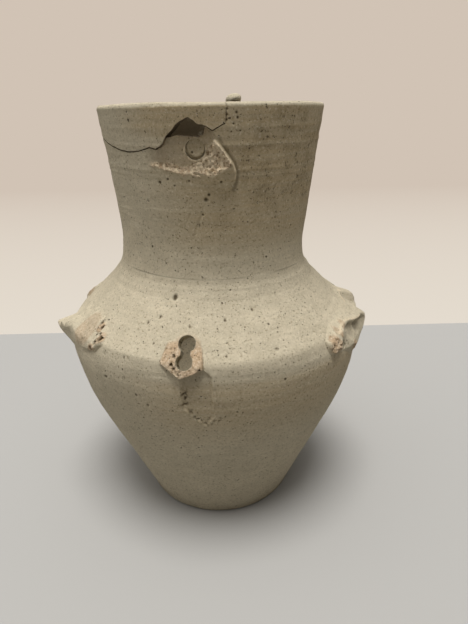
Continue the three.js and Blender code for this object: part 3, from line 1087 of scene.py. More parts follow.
def angles_round(coarse: float, fine: float, start: float, end: float) -> Field:
    """Angles all the way round, closer together over one stretch.

    Args:
        coarse: Spacing outside the stretch.
        fine: Spacing in the stretch.
        start: First angle of the stretch.
        end: Last angle of the stretch.

    Returns:
        Angles from -180 up to, but without, 180.
    """
    stretches = ((-180.0, start, coarse), (start, end, fine), (end, 180.0, coarse))
    runs = [np.linspace(low, high, round((high - low) / step), endpoint=False) for low, high, step in stretches]
    return np.concatenate(runs)


def facing(angle: float) -> tuple[Field, Field]:
    """Level directions beside and out along an angle round the axis."""
    turn = math.radians(angle)
    return np.array([math.cos(turn), math.sin(turn), 0.0]), np.array([math.sin(turn), -math.cos(turn), 0.0])


def spokes(turn: Field, first: Field, second: Field) -> Field:
    """Directions that turn from one direction towards another."""
    return np.cos(turn)[..., None] * first + np.sin(turn)[..., None] * second


def even_steps(corners: Field, count: int) -> Field:
    """Values spaced evenly between the corners of an outline."""
    return np.interp(np.linspace(0.0, len(corners) - 1.0, count), np.arange(len(corners)), corners)


@dataclass
class Assembly:
    """Part of the jug that is made in the shared workshop."""

    workshop: Workshop

    def __post_init__(self) -> None:
        """Keep the wall, its surface and the noise at hand."""
        self.wall, self.surface, self.noise = self.workshop.wall, self.workshop.surface, self.workshop.noise


@dataclass
class JugBody(Assembly):
    """Base disc, lower wall and shoulder."""

    base_seat: float = 4.5
    base_floor: float = 8.0
    heel: float = 3.0
    seam: float = 58.0
    neck_seat: float = 157.0
    fine_start: float = -38.0
    fine_end: float = 18.0
    bands: Outline = ((86.0, 1.6), (140.0, 0.75))
    top_step: float = 0.8
    hole_angle: float = -11.0
    hole_slope: float = 36.0
    holes: Outline = ((132.5, 8.7), (125.8, 8.2))
    waist: float = 4.8
    waist_height: float = 0.96
    waist_depth: float = 0.47
    waist_break: float = 0.8
    peg_break: float = 0.35
    hole_length: float = 26.0

    def build(self) -> None:
        """Make and dress the three pieces."""
        self.base_disc()
        wall, fit = self.wall, self.workshop.fit
        lower = wall.heights_between(self.base_seat, self.seam, 1.6)
        inner = wall.heights_between(self.base_floor, self.seam, 3.0)
        angles = angles_round(1.25, 1.25, -90.0, 90.0)
        fit(self.shell(angles, lower, inner), "lower_wall", ClaySlot.FIRED)

        low, runs = self.seam, []
        for high, step in (*self.bands, (self.neck_seat, self.top_step)):
            runs.append(wall.heights_between(low, high, step)[:-1])
            low = high
        outer = np.concatenate([*runs, [low]])
        angles = angles_round(1.2, 0.42, self.fine_start, self.fine_end)
        inner = wall.heights_between(self.seam, self.neck_seat, 2.4)
        shoulder = fit(self.shell(angles, outer, inner), "shoulder", ClaySlot.FIRED)
        self.workshop.carve(shoulder, self.peg_hole_cutters())

    def shell(self, angles: Field, outer: Field, inner: Field) -> ClayMesh:
        """Wall section that is closed all round.

        Args:
            angles: Angles of the columns.
            outer: Heights on the outer face, upwards.
            inner: Heights on the inner face, upwards.

        Returns:
            The section's shape.
        """
        wall, surface = self.wall, self.surface
        angle, height = grid(angles, outer)
        outside = wall.place(angle, height, surface.outside(angle, height))
        # Painted shade below the shoulder's edge goes into the brown mask of the outer face.
        soil_and_shade, stain_and_shade = surface.soil_and_shade(angle, height), surface.belly_shading(angle, height)
        angle, height = grid(angles, inner[::-1])
        inside = wall.within(angle, height, surface.inside(angle, height))
        masks = {
            # Outer face: soiling and painted shade; inner face: painted shade, darkest towards the neck.
            SurfaceMask.SOIL_AND_SHADE: joined(soil_and_shade, surface.inner_shading(height)),
            SurfaceMask.STAIN_AND_SHADE: joined(stain_and_shade, np.zeros(height.shape)),
        }
        return ClayMesh.ring(joined(outside, inside), masks)

    def base_disc(self) -> None:
        """Make the disc that the jug stands on, with a worn heel."""
        wall = self.wall
        turn = np.linspace(0.0, math.pi / 2.0, 7)[1:]
        under = np.linspace(1.0, wall.foot_radius - self.heel, 14)
        floor_edge = float(wall.radius(self.base_floor)) - wall.thickness
        floor = np.linspace(floor_edge, 1.0, 12)
        bend = float(wall.radius(self.heel)) - self.heel + self.heel * np.sin(turn)
        radius = np.concatenate([under, bend, [float(wall.radius(self.base_seat)), floor_edge], floor])
        bend = self.heel - self.heel * np.cos(turn)
        seat, top = [self.base_seat, self.base_seat], np.full(floor.size, self.base_floor)
        height = np.concatenate([np.zeros(under.size), bend, seat, top])
        angle, radius = grid(angles_round(1.5, 1.5, -90.0, 90.0), radius)
        height = np.broadcast_to(height, angle.shape)
        worn = 0.25 * self.noise.at(wall.turned(angle, radius, height), 9.0)
        worn = worn * smooth_step(self.base_seat, 0.5, height) * (height > 0.0)
        points = wall.turned(angle, radius + worn, height)
        self.workshop.fit(ClayMesh.bar(points), "base_disc", ClaySlot.FIRED)

    def peg_hole_cutters(self) -> list[ClayMesh]:
        """Two pegs' shapes and the broken waist between them.

        Returns:
            Closed shapes that reach through the wall.
        """
        centres = [self.wall.place(self.hole_angle, np.array(height)) for height, _ in self.holes]
        middle = (centres[0] + centres[1]) / 2.0
        tall = self.waist_height * float(np.linalg.norm(centres[0] - centres[1])) / 2.0
        deep = self.waist_depth * self.hole_length
        beside, along, upright = self.hole_axes()
        ends = itertools.product((-1.0, 1.0), repeat=3)
        half = self.waist / 2.0
        corners = np.array(
            [middle + x * half * beside + y * deep * along + z * tall * upright for x, y, z in ends]
        )
        faces = [(0, 1, 3, 2), (4, 6, 7, 5), (0, 4, 5, 1), (2, 3, 7, 6), (0, 2, 6, 4), (1, 5, 7, 3)]
        waist = ClayMesh(corners, faces, {SurfaceMask.BREAK: np.full(len(corners), self.waist_break)})
        return [waist, *(self.peg_shape(centre, size / 2.0) for centre, (_, size) in zip(centres, self.holes))]

    def hole_axes(self) -> tuple[Field, Field, Field]:
        """Directions beside, along and up across the sloping peg holes."""
        slope = math.radians(self.hole_slope)
        beside, level = facing(self.hole_angle)
        along = level * math.cos(slope) + UPRIGHT * math.sin(slope)
        return beside, along, np.cross(beside, along)

    def peg_shape(self, centre: Field, radius: float) -> ClayMesh:
        """Slightly uneven round bar along the peg holes.

        Args:
            centre: Middle of the bar.
            radius: Its radius.

        Returns:
            The bar's shape.
        """
        beside, along, upright = self.hole_axes()
        turn, reach = grid(turns(44), np.linspace(-self.hole_length / 2.0, self.hole_length / 2.0, 15))
        round_bar = spokes(turn, beside, -upright)
        points = centre + radius * round_bar + reach[..., None] * along
        points = points + 0.16 * self.noise.at(points, 2.6)[..., None] * round_bar
        return ClayMesh.bar(points, {SurfaceMask.BREAK: np.full(turn.shape, self.peg_break)})


@dataclass
class JugNeck(Assembly):
    """Luting ring, neck with its handle scar, rejoined rim sherd and rim knob."""

    seat: float = 157.0
    seat_gap: float = 0.2
    ring_low: float = 147.5
    ring_crest: float = 151.4
    ring_proud: float = 0.6
    ring_smear: float = 2.4
    ring_root: float = -1.5
    crease_shade: float = 0.45
    lip_steps: int = 11
    lip_height: float = 2.0
    lip_squareness: float = 0.78
    sherd_start: float = -112.0
    sherd_end: float = 5.9
    sherd_proud: float = 0.12
    crack_gap: float = 0.55
    crack_shade: float = 0.75
    crack_break: float = 0.8
    crack_rough: float = 0.3
    scar_depth: float = 1.8
    socket_radius: float = 4.55
    socket_ends: Pair = (-14.0, 6.0)
    socket_break: float = 0.5
    peg_angle: float = -7.8
    peg_height: float = 219.7
    angle_runs: Spots = (
        (-179.5, -113.0, 1.25), (-111.6, -36.0, 1.0), (-36.0, 5.6, 0.33), (7.0, 18.0, 0.45),
        (18.5, 180.0, 1.25),
    )
    crack_angles: tuple[float, ...] = (-112.6, -112.3, -112.1, 5.8, 6.0, 6.1, 6.3, 6.6)
    knob_angle: float = 165.5
    knob_inset: float = 3.0
    knob_lift: float = 2.9
    knob_profile: Outline = (
        (0.4, -2.0), (4.4, -2.0), (4.3, 0.2), (4.2, 1.0), (4.6, 1.7), (4.9, 2.6), (4.9, 3.6), (4.6, 4.6),
        (3.9, 5.4), (2.8, 6.0), (1.5, 6.3), (0.4, 6.35),
    )
    sherd_edge: Outline = (
        (-112.0, 232.0), (-90.0, 228.0), (-67.4, 222.8), (-52.0, 219.3), (-43.6, 218.2), (-35.7, 219.3),
        (-29.5, 220.6), (-26.4, 219.7), (-22.4, 222.2), (-20.5, 225.4), (-17.3, 228.3), (-13.4, 231.6),
        (-9.8, 232.9), (-7.8, 231.5), (-5.7, 230.0), (-2.7, 229.6), (0.2, 228.1), (2.4, 229.1), (5.6, 230.4),
        (5.9, 231.6),
    )
    hole_edge: Outline = (
        (-20.5, 225.0), (-17.5, 226.0), (-13.5, 225.8), (-10.3, 225.3), (-5.9, 225.3), (-3.9, 226.1),
        (-3.2, 229.2),
    )
    scar_outline: Outline = (
        (-23.0, 212.4), (-14.3, 211.2), (-6.8, 209.6), (0.4, 208.8), (7.4, 206.9), (14.0, 208.5),
        (14.0, 224.5), (11.4, 229.5), (9.0, 238.0), (-14.0, 238.0), (-20.5, 222.6),
    )

    def build(self) -> None:
        """Make and dress the four pieces."""
        self.luting_ring()
        self.neck()
        self.rim_sherd()
        self.rim_knob()

    def luting_ring(self) -> None:
        """Make the fillet of clay smeared round the joint under the neck."""
        wall, surface, noise = self.wall, self.surface, self.noise
        top = self.seat + self.ring_smear
        heights = wall.heights_between(self.ring_low, top, 0.7)
        angle, height = grid(angles_round(1.2, 0.6, -60.0, 60.0), heights)
        points = wall.place(angle, height)
        crest = self.ring_crest + 0.9 * noise.at(points * LEVEL, 40.0)
        rise = np.where(height < crest, (height - self.ring_low) / (crest - self.ring_low), 1.0)
        fall = np.clip((height - crest) / (top - crest), 0.0, 1.0)
        bead = 1.0 - 0.72 * smooth_step(0.0, 0.6, fall) - 0.28 * smooth_step(0.6, 1.0, fall)
        bead = smooth_step(0.0, 1.0, rise) * bead
        proud = self.ring_proud * (bead - 0.12) * (1.0 + 0.3 * noise.at(points, 25.0))
        outside = wall.place(angle, height, surface.outside(angle, height) + proud)
        feet = np.broadcast_to([top, self.ring_low], (len(angle), 2))
        points = joined(outside, wall.place(angle[:, :2], feet, self.ring_root))
        soil_and_shade = joined(surface.soil_and_shade(angle, height), np.zeros(feet.shape))
        # Painted shade along the crease where the ring meets the neck.
        crease = slice(heights.size - 3, heights.size - 1)
        soil_and_shade[:, crease] = self.crease_shade * smooth_step(-0.5, 0.3, noise.at(points[:, crease], 22.0))
        self.workshop.fit(ClayMesh.ring(points, {SurfaceMask.SOIL_AND_SHADE: soil_and_shade}), "neck_luting_ring", ClaySlot.FIRED)

    def edge(self, angle: Field, outline: Outline) -> Field:
        """Height of an edge of the crack at angles, with jags that are the same on both of its sides."""
        jags = np.stack([angle, np.zeros(angle.shape), np.zeros(angle.shape)], -1)
        return np.interp(angle, *np.array(outline).T) + 0.3 * self.noise.rough(jags, 2.2)

    def scar(self, angle: Field, height: Field) -> tuple[Field, Field, Field]:
        """Seat of the lost handle: a smooth hollow with a ragged ledge under it and a rim round the peg.

        Args:
            angle: Angles round the axis.
            height: Heights.

        Returns:
            Distances out from the surface, how much broken clay shows, and how much pale colour shows: painted
            highlight on the ragged ledge and on the lower rim round the peg, which face up to the light.
        """
        wall, noise = self.wall, self.noise
        across = wall.across(angle, height, self.surface.handle_angle)
        points = wall.place(angle, height)
        jag = 0.55 * noise.rough(points, 2.6)
        depth = inside_depth(across + jag, height + jag, self.scar_outline)
        sides = window((-23.0, -14.0), (8.5, 13.0), across)
        floor = -self.scar_depth * smooth_step(0.0, 2.3, depth) * sides
        ledge = window((-0.8, 0.0), (2.7, 3.4), depth) * window((-22.0, -18.0), (7.0, 10.0), across)
        ledge = ledge * (1.0 - smooth_step(212.5, 215.0, height))
        relief = floor + 0.6 * ledge * (noise.rough(points, 1.5) + 0.35)
        reach = wall.reach(angle, height, self.peg_angle, self.peg_height)
        lower = smooth_step(2.5, -1.5, height - self.peg_height)
        rim = lower * bell(reach - self.socket_radius - 0.45, 0.6)
        broken = np.maximum(ledge, 0.3 * smooth_step(1.6, 3.0, depth) * sides)
        # Painted highlight on the ledge, which faces up.
        pale = 0.9 * ledge * smooth_step(-0.45, 0.2, noise.at(points, 1.2))
        # The raised rim round the peg also takes painted highlight.
        return relief + 0.5 * rim, broken, np.maximum(pale, np.minimum(1.0, 1.3 * rim))

    def neck(self) -> None:
        """Make the neck: open lip at the back, fracture edge and chip hole under the sherd."""
        wall, surface = self.wall, self.surface
        runs = [np.arange(*run) for run in self.angle_runs]
        angles = np.sort(np.concatenate([*runs, self.crack_angles]))
        closed = (angles > self.sherd_start - 0.2) & (angles < self.sherd_end + 0.15)
        top = self.edge(angles, self.sherd_edge)
        in_hole = (angles > self.hole_edge[0][0]) & (angles < self.hole_edge[-1][0])
        top = np.where(in_hole, np.minimum(top, self.edge(angles, self.hole_edge)), top) - self.crack_gap
        top = np.where(closed, top, wall.rim[1])

        low = self.seat + self.seat_gap
        share = np.concatenate([np.linspace(0.0, 0.45, 24)[:-1], np.linspace(0.45, 1.0, 84)])
        height = low + share * (top[:, None] - low)
        angle = spread(angles, share.size)
        scar, broken, edge = self.scar(angle, height)
        outside = wall.place(angle, height, surface.outside(angle, height) + scar)
        cap = self.cap(angles, top, closed)
        inner = top[:, None] + np.linspace(0.0, 1.0, 40) * (low - top[:, None])
        around = spread(angles, inner.shape[1])
        inside = wall.within(around, inner, surface.inside(around, inner))
        cracked, plain = spread(closed.astype(float), cap.shape[1]), np.zeros(inner.shape)
        unmarked = joined(np.zeros(cracked.shape), plain)
        masks = {
            SurfaceMask.BREAK: joined(broken, self.crack_break * cracked, plain),
            SurfaceMask.STAIN_AND_SHADE: joined(surface.stain_and_shade(angle, height), unmarked),
            SurfaceMask.EDGE: joined(edge, unmarked),
            # Soiling and painted shade outside, painted shade on the crack's faces and inside the neck.
            SurfaceMask.SOIL_AND_SHADE: joined(
                surface.soil_and_shade(angle, height), self.crack_shade * cracked, surface.inner_shading(inner)
            ),
        }
        mesh = ClayMesh.ring(joined(outside, cap, inside), masks)
        self.workshop.carve(self.workshop.fit(mesh, "neck", ClaySlot.FIRED), [self.socket()])

    def cap(self, angles: Field, top: Field, closed: Field) -> Field:
        """Points over the top of the wall: the rounded lip, or the rough face of the crack.

        Args:
            angles: Angles of the columns.
            top: Heights of the outer edge.
            closed: Where the sherd sits above, so that the face is broken.

        Returns:
            Points from the outer edge to the inner edge.
        """
        angle, turn = self.lip_grid(angles)
        radius = self.wall.radius(top)[:, None] - self.wall.thickness * (1.0 - np.cos(turn)) / 2.0
        crack = self.wall.turned(angle, radius, spread(top, angle.shape[1]))
        crack[..., 2] += self.crack_rough * self.noise.rough(crack, 1.8) * np.sin(turn)
        return np.where(closed[:, None, None], crack, self.lip(angle, turn))

    def lip_grid(self, angles: Field) -> list[Field]:
        """Grids of angles and of turns over the lip, from its outer side to its inner side."""
        return grid(angles, np.linspace(0.0, math.pi, self.lip_steps + 2)[1:-1])

    def lip(self, angle: Field, turn: Field) -> Field:
        """Points on the worn round lip.

        Args:
            angle: Angles round the axis.
            turn: Turn over the lip, from its outer side to its inner side.

        Returns:
            Points in space.
        """
        wall, surface, noise = self.wall, self.surface, self.noise
        rim = np.full(angle.shape, wall.rim[1])
        half = wall.thickness / 2.0
        outer = surface.outside(angle, rim) * (1.0 + np.cos(turn)) / 2.0
        inner = surface.inside(angle, rim) * (1.0 - np.cos(turn)) / 2.0
        reach = half * np.sign(np.cos(turn)) * np.abs(np.cos(turn)) ** self.lip_squareness
        rise = self.lip_height * np.sin(turn) ** self.lip_squareness
        points = wall.turned(angle, wall.rim[0] - half + reach, rim + rise)
        chipped = 0.8 * np.clip(noise.at(points, 3.2) - 0.45, 0.0, 1.0) + 0.12 * noise.at(points, 1.6)
        lift = 0.25 * noise.at(points * LEVEL, 30.0) - chipped
        radius = wall.rim[0] - half + reach * (1.0 - 0.2 * chipped) + outer + inner
        return wall.turned(angle, radius, rim + rise + lift * np.sin(turn))

    def socket(self) -> ClayMesh:
        """Round bar that cuts the peg's socket through the neck.

        Returns:
            The bar's shape.
        """
        turn, reach = grid(turns(56), np.linspace(*self.socket_ends, 9))
        beside, along = facing(self.peg_angle)
        spoke = spokes(turn, beside, UPRIGHT)
        centre = self.wall.place(np.array(self.peg_angle), np.array(self.peg_height))
        points = centre + self.socket_radius * spoke + reach[..., None] * along
        points = points + 0.15 * self.noise.at(points, 3.0)[..., None] * spoke
        return ClayMesh.bar(points, {SurfaceMask.BREAK: np.full(turn.shape, self.socket_break)})

    def rim_sherd(self) -> None:
        """Make the sherd that was put back in the rim."""
        wall, surface = self.wall, self.surface
        coarse = np.arange(self.sherd_start + 0.1, -36.0, 1.0)
        fine = np.arange(-36.0, self.sherd_end - 0.2, 0.33)
        angles = np.concatenate([coarse, fine, [self.sherd_end - 0.05]])
        low = self.edge(angles, self.sherd_edge)
        height = low[:, None] + np.linspace(0.0, 1.0, 34) * (wall.rim[1] - low[:, None])
        angle = spread(angles, height.shape[1])
        outside = wall.place(angle, height, surface.outside(angle, height) + self.sherd_proud)
        lip = self.lip(*self.lip_grid(angles))
        inner = height[:, ::-2]
        around = spread(angles, inner.shape[1])
        inside = wall.within(around, inner, surface.inside(around, inner))
        share = np.linspace(0.0, 1.0, 6)[1:-1]
        radius = wall.radius(low)[:, None] - wall.thickness * (1.0 - share)
        under = wall.turned(spread(angles, share.size), radius, spread(low, share.size))
        under[..., 2] += self.crack_rough * self.noise.rough(under, 1.8)
        plain, inner_plain, crack = (np.zeros(part.shape[:2]) for part in (lip, inside, under))
        unmarked = joined(plain, inner_plain, crack)
        masks = {
            SurfaceMask.BREAK: joined(
                np.zeros(height.shape), plain, inner_plain, crack + self.crack_break
            ),
            # Soiling and painted shade outside, painted shade inside and on the crack's face.
            SurfaceMask.SOIL_AND_SHADE: joined(
                surface.soil_and_shade(angle, height), plain, inner_plain + surface.inner_shade, crack + self.crack_shade
            ),
            SurfaceMask.STAIN_AND_SHADE: joined(surface.stain_and_shade(angle, height), unmarked),
        }
        points = joined(outside, lip, inside, under)
        columns, rows = points.shape[:2]
        faces = grid_faces(columns, rows, False, True) + end_faces(columns, rows)
        self.workshop.fit(ClayMesh(points, faces, masks), "rim_sherd", ClaySlot.FIRED)

    def rim_knob(self) -> None:
        """Make the flat-topped pellet on the far side of the rim."""
        wall, noise = self.wall, self.noise
        radius, rise = (even_steps(corners, 34) for corners in np.array(self.knob_profile).T)
        turn, radius = grid(turns(64), radius)
        middle = (self.knob_angle, wall.rim[0] - self.knob_inset, wall.rim[1] + self.knob_lift)
        centre = wall.turned(*(np.array(value) for value in middle))
        spoke = np.stack([np.cos(turn), np.sin(turn), np.zeros(turn.shape)], -1)
        points = centre + radius[..., None] * spoke + rise[:, None] * UPRIGHT
        lumpy = 0.35 * noise.at(points, 4.5) + 0.12 * noise.at(points, 1.5)
        points = points + (lumpy * smooth_step(0.4, 3.0, radius))[..., None] * spoke
        points[..., 2] += (0.25 * noise.at(points, 5.0) + 0.12 * (points[..., 0] - centre[0])) * (rise > 1.5)
        self.workshop.fit(ClayMesh.bar(points), "rim_knob", ClaySlot.FIRED, ROUND_CREASE)


@dataclass
class HandleScars(Assembly):
    """What the lost upright handle left: the peg, the root on the neck and the stump on the shoulder.

    Spots hold a distance across from the handle's line, a height and a distance out, and pits a reach.
    """

    body: JugBody
    neck: JugNeck
    step: float = 0.3
    peg_radius: float = 4.05
    peg_length: float = 4.2
    peg_proud: float = 0.12
    peg_turn: float = 0.25
    peg_lift: float = 0.62
    peg_stain: float = 0.35
    peg_end: Outline = (
        (1.0, -1.0), (1.0, -0.45), (0.95, -0.12), (0.86, 0.0), (0.7, 0.0), (0.5, -0.1), (0.2, -0.16),
        (0.02, -0.16),
    )
    root_across: Pair = (-5.0, 22.0)
    root_heights: Pair = (196.5, 224.3)
    root_buried: float = -2.8
    root_crease: float = 55.0
    root_spots: Spots = (
        (11.2, 223.4, 0.5), (13.6, 220.2, 1.7), (15.9, 217.0, 2.5), (18.7, 212.9, 3.0), (19.9, 209.3, 2.5),
        (19.4, 206.0, 1.2), (17.6, 202.2, 0.5), (12.3, 225.0, -1.2), (14.9, 221.0, -0.5), (17.2, 217.6, -0.5),
        (20.0, 213.3, -0.5), (21.2, 209.2, -0.5), (20.6, 205.4, -0.5), (18.6, 201.0, -0.5), (9.0, 221.4, -1.2),
        (6.9, 218.2, -1.5), (5.9, 215.2, -1.3), (2.6, 214.0, -1.5), (-1.5, 213.0, -2.0), (-4.0, 211.0, -2.4),
        (12.0, 216.5, 0.0), (10.0, 213.0, 0.1), (6.0, 211.6, -0.5), (17.4, 211.8, 2.8), (13.2, 209.8, 2.7),
        (9.0, 208.2, 2.0), (4.2, 209.2, 0.6), (0.0, 209.8, -0.5), (15.5, 205.2, 1.8), (12.0, 203.6, 0.8),
        (8.0, 204.5, 0.25), (4.0, 205.6, -0.5), (14.6, 200.2, 0.2), (11.0, 199.0, -0.3), (8.5, 200.5, -0.4),
        (9.5, 224.0, -2.4), (5.0, 219.0, -2.6), (3.2, 215.8, -2.6), (-3.0, 214.6, -2.6),
    )
    root_edge: Outline = (
        (11.2, 223.4), (13.6, 220.2), (15.9, 217.0), (18.7, 212.9), (19.9, 209.3), (19.6, 206.8),
    )
    root_break: Outline = (
        (11.2, 223.6), (13.8, 220.3), (16.0, 217.0), (18.6, 212.9), (16.8, 211.4), (13.2, 209.6), (9.0, 207.9),
        (4.0, 209.0), (-4.0, 210.4), (-4.0, 215.0), (4.0, 216.0),
    )
    stump_across: Pair = (-15.5, 10.0)
    stump_heights: Pair = (116.5, 142.5)
    stump_buried: float = -0.8
    stump_crease: float = 50.0
    stump_spots: Spots = (
        (-12.9, 125.0, 1.5), (-10.6, 132.4, 0.7), (-7.6, 122.2, 2.5), (-2.3, 119.1, 3.7), (2.4, 121.3, 3.0),
        (7.1, 123.4, 2.4), (6.6, 127.0, 1.7), (5.8, 129.8, 1.0), (4.6, 133.4, 0.5), (-1.0, 127.0, 2.3),
        (-6.5, 128.0, 1.6), (-1.0, 131.0, 1.2), (-6.0, 133.5, 0.5), (1.0, 136.8, 0.15), (-4.0, 137.4, 0.15),
        (-14.0, 124.6, -0.6), (-11.8, 133.6, -0.6), (-8.2, 121.2, -0.6), (-2.3, 117.9, -0.6),
        (2.8, 120.2, -0.6), (8.1, 122.7, -0.6), (7.8, 127.2, -0.6), (7.2, 131.0, -0.6), (6.0, 136.0, -0.6),
        (1.5, 140.5, -0.6), (-5.0, 141.0, -0.6),
    )
    # Lower broken edge of the stump, which takes a painted highlight.
    stump_edge: Outline = ((-12.6, 125.6), (-10.4, 123.8), (-7.6, 122.3), (-2.3, 119.3), (0.4, 120.2))
    stump_pits: Spots = ((-6.6, 128.6, 1.0), (-7.0, 125.2, 1.0), (-5.6, 123.6, 0.7), (6.2, 123.6, 0.7))
    pit_depth: float = 0.9

    def build(self) -> None:
        """Make and dress the three pieces."""
        self.tenon_peg()
        self.upper_root()
        self.stump()

    def tenon_peg(self) -> None:
        """Make the worn end of the peg that held the handle to the neck."""
        neck = self.neck
        corners = np.array(((0.3, -self.peg_length), (1.0, -self.peg_length), *self.peg_end))
        radius, depth = (even_steps(side, 46) for side in (corners[:, 0] * self.peg_radius, corners[:, 1]))
        turn, radius = grid(turns(60), radius)
        angle, height = neck.peg_angle + self.peg_turn, neck.peg_height + self.peg_lift
        proud = self.peg_proud - neck.scar_depth
        centre = self.wall.place(np.array(angle), np.array(height), proud)
        beside, along = facing(angle)
        points = centre + radius[..., None] * spokes(turn, beside, UPRIGHT) + depth[:, None] * along
        points = points + 0.14 * self.noise.rough(points, 2.4)[..., None] * along
        mesh = ClayMesh.bar(points, {SurfaceMask.STAIN_AND_SHADE: np.full(turn.shape, self.peg_stain)})
        self.workshop.fit(mesh, "tenon_peg", ClaySlot.TENON, ROUND_CREASE)

    def upper_root(self) -> None:
        """Make the root on the neck: a rough broken slope with a thin edge and a smooth lobe below."""
        workshop, neck, surface, noise = self.workshop, self.neck, self.surface, self.noise
        middle = surface.handle_angle
        across, height, angle = workshop.patch(middle, self.root_across, self.root_heights, self.step)
        rise = soften(sheet_heights(self.root_spots, across, height, self.root_buried), 3)
        points = workshop.stand_out(angle, height, rise)
        rough = smooth_step(-0.3, 0.7, inside_depth(across, height, self.root_break))
        rise = rise + 0.7 * rough * noise.rough(points, 1.3) + 0.08 * noise.rough(points, 3.0)
        reach = self.wall.reach(angle, height, neck.peg_angle, neck.peg_height)
        rise = np.where(reach < neck.socket_radius + 0.35, -3.0, rise)
        thin = bell(path_distance(across, height, self.root_edge), 0.4)
        masks = {
            SurfaceMask.BREAK: rough,
            SurfaceMask.STAIN_AND_SHADE: surface.stain_and_shade(angle, height) * (1.0 - rough),
            # Painted highlight on the thin right edge and on the rough slope that faces the light.
            SurfaceMask.EDGE: np.maximum(thin, 0.7 * rough),
            SurfaceMask.SOIL_AND_SHADE: surface.soil_and_shade(angle, height) * (1.0 - thin),
        }
        mesh = workshop.lump(angle, height, rise, masks)
        workshop.fit(mesh, "upper_handle_root", ClaySlot.BROKEN, self.root_crease)

    def stump(self) -> None:
        """Make the broken stump round the peg holes."""
        workshop, noise, middle = self.workshop, self.noise, self.surface.handle_angle
        across, height, angle = workshop.patch(middle, self.stump_across, self.stump_heights, self.step)
        rise = soften(sheet_heights(self.stump_spots, across, height, self.stump_buried), 2)
        points = workshop.stand_out(angle, height, rise)
        broken = smooth_step(-0.1, 0.9, rise)
        rise = rise + broken * 0.42 * noise.rough(points, 1.7)
        soil_and_shade = np.zeros(angle.shape)
        for beside, level, size in self.stump_pits:
            gap = np.hypot(across - beside, height - level) + 0.4 * noise.rough(points, 1.2)
            soil_and_shade = np.maximum(soil_and_shade, 1.0 - smooth_step(0.4 * size, size, gap))
        masks = {
            SurfaceMask.BREAK: broken * (1.0 - smooth_step(134.5, 138.5, height)),
            SurfaceMask.SOIL_AND_SHADE: soil_and_shade,
            # Painted highlight along the lower edge of the stump, which catches the light.
            SurfaceMask.EDGE: 0.5 * bell(path_distance(across, height, self.stump_edge), 0.6),
        }
        mesh = workshop.lump(angle, height, rise - self.pit_depth * soil_and_shade, masks)
        piece = workshop.fit(mesh, "lower_handle_root", ClaySlot.BROKEN, self.stump_crease)
        workshop.carve(piece, self.body.peg_hole_cutters(), self.stump_crease)


@dataclass(frozen=True)
class LugShape:
    """Root of a lost side handle.

    Spots hold angle, height and distance out. Breaks hold the angle, height and reach of broken clay, and how
    rough it is. Gaps hold the angle, height and reach of pits that are cut in and darkened with painted shade,
    edges are pale lines of painted highlight along ridges that catch the light, with some wear, and hollows
    hold the angle, height and reach of smooth pressed places that are darkened with painted shade.
    """

    node: str
    middle: float
    angles: Pair
    heights: Pair
    spots: Spots
    breaks: Places
    gaps: Spots = ()
    edges: tuple[Outline, ...] = ()
    hollows: Spots = ()


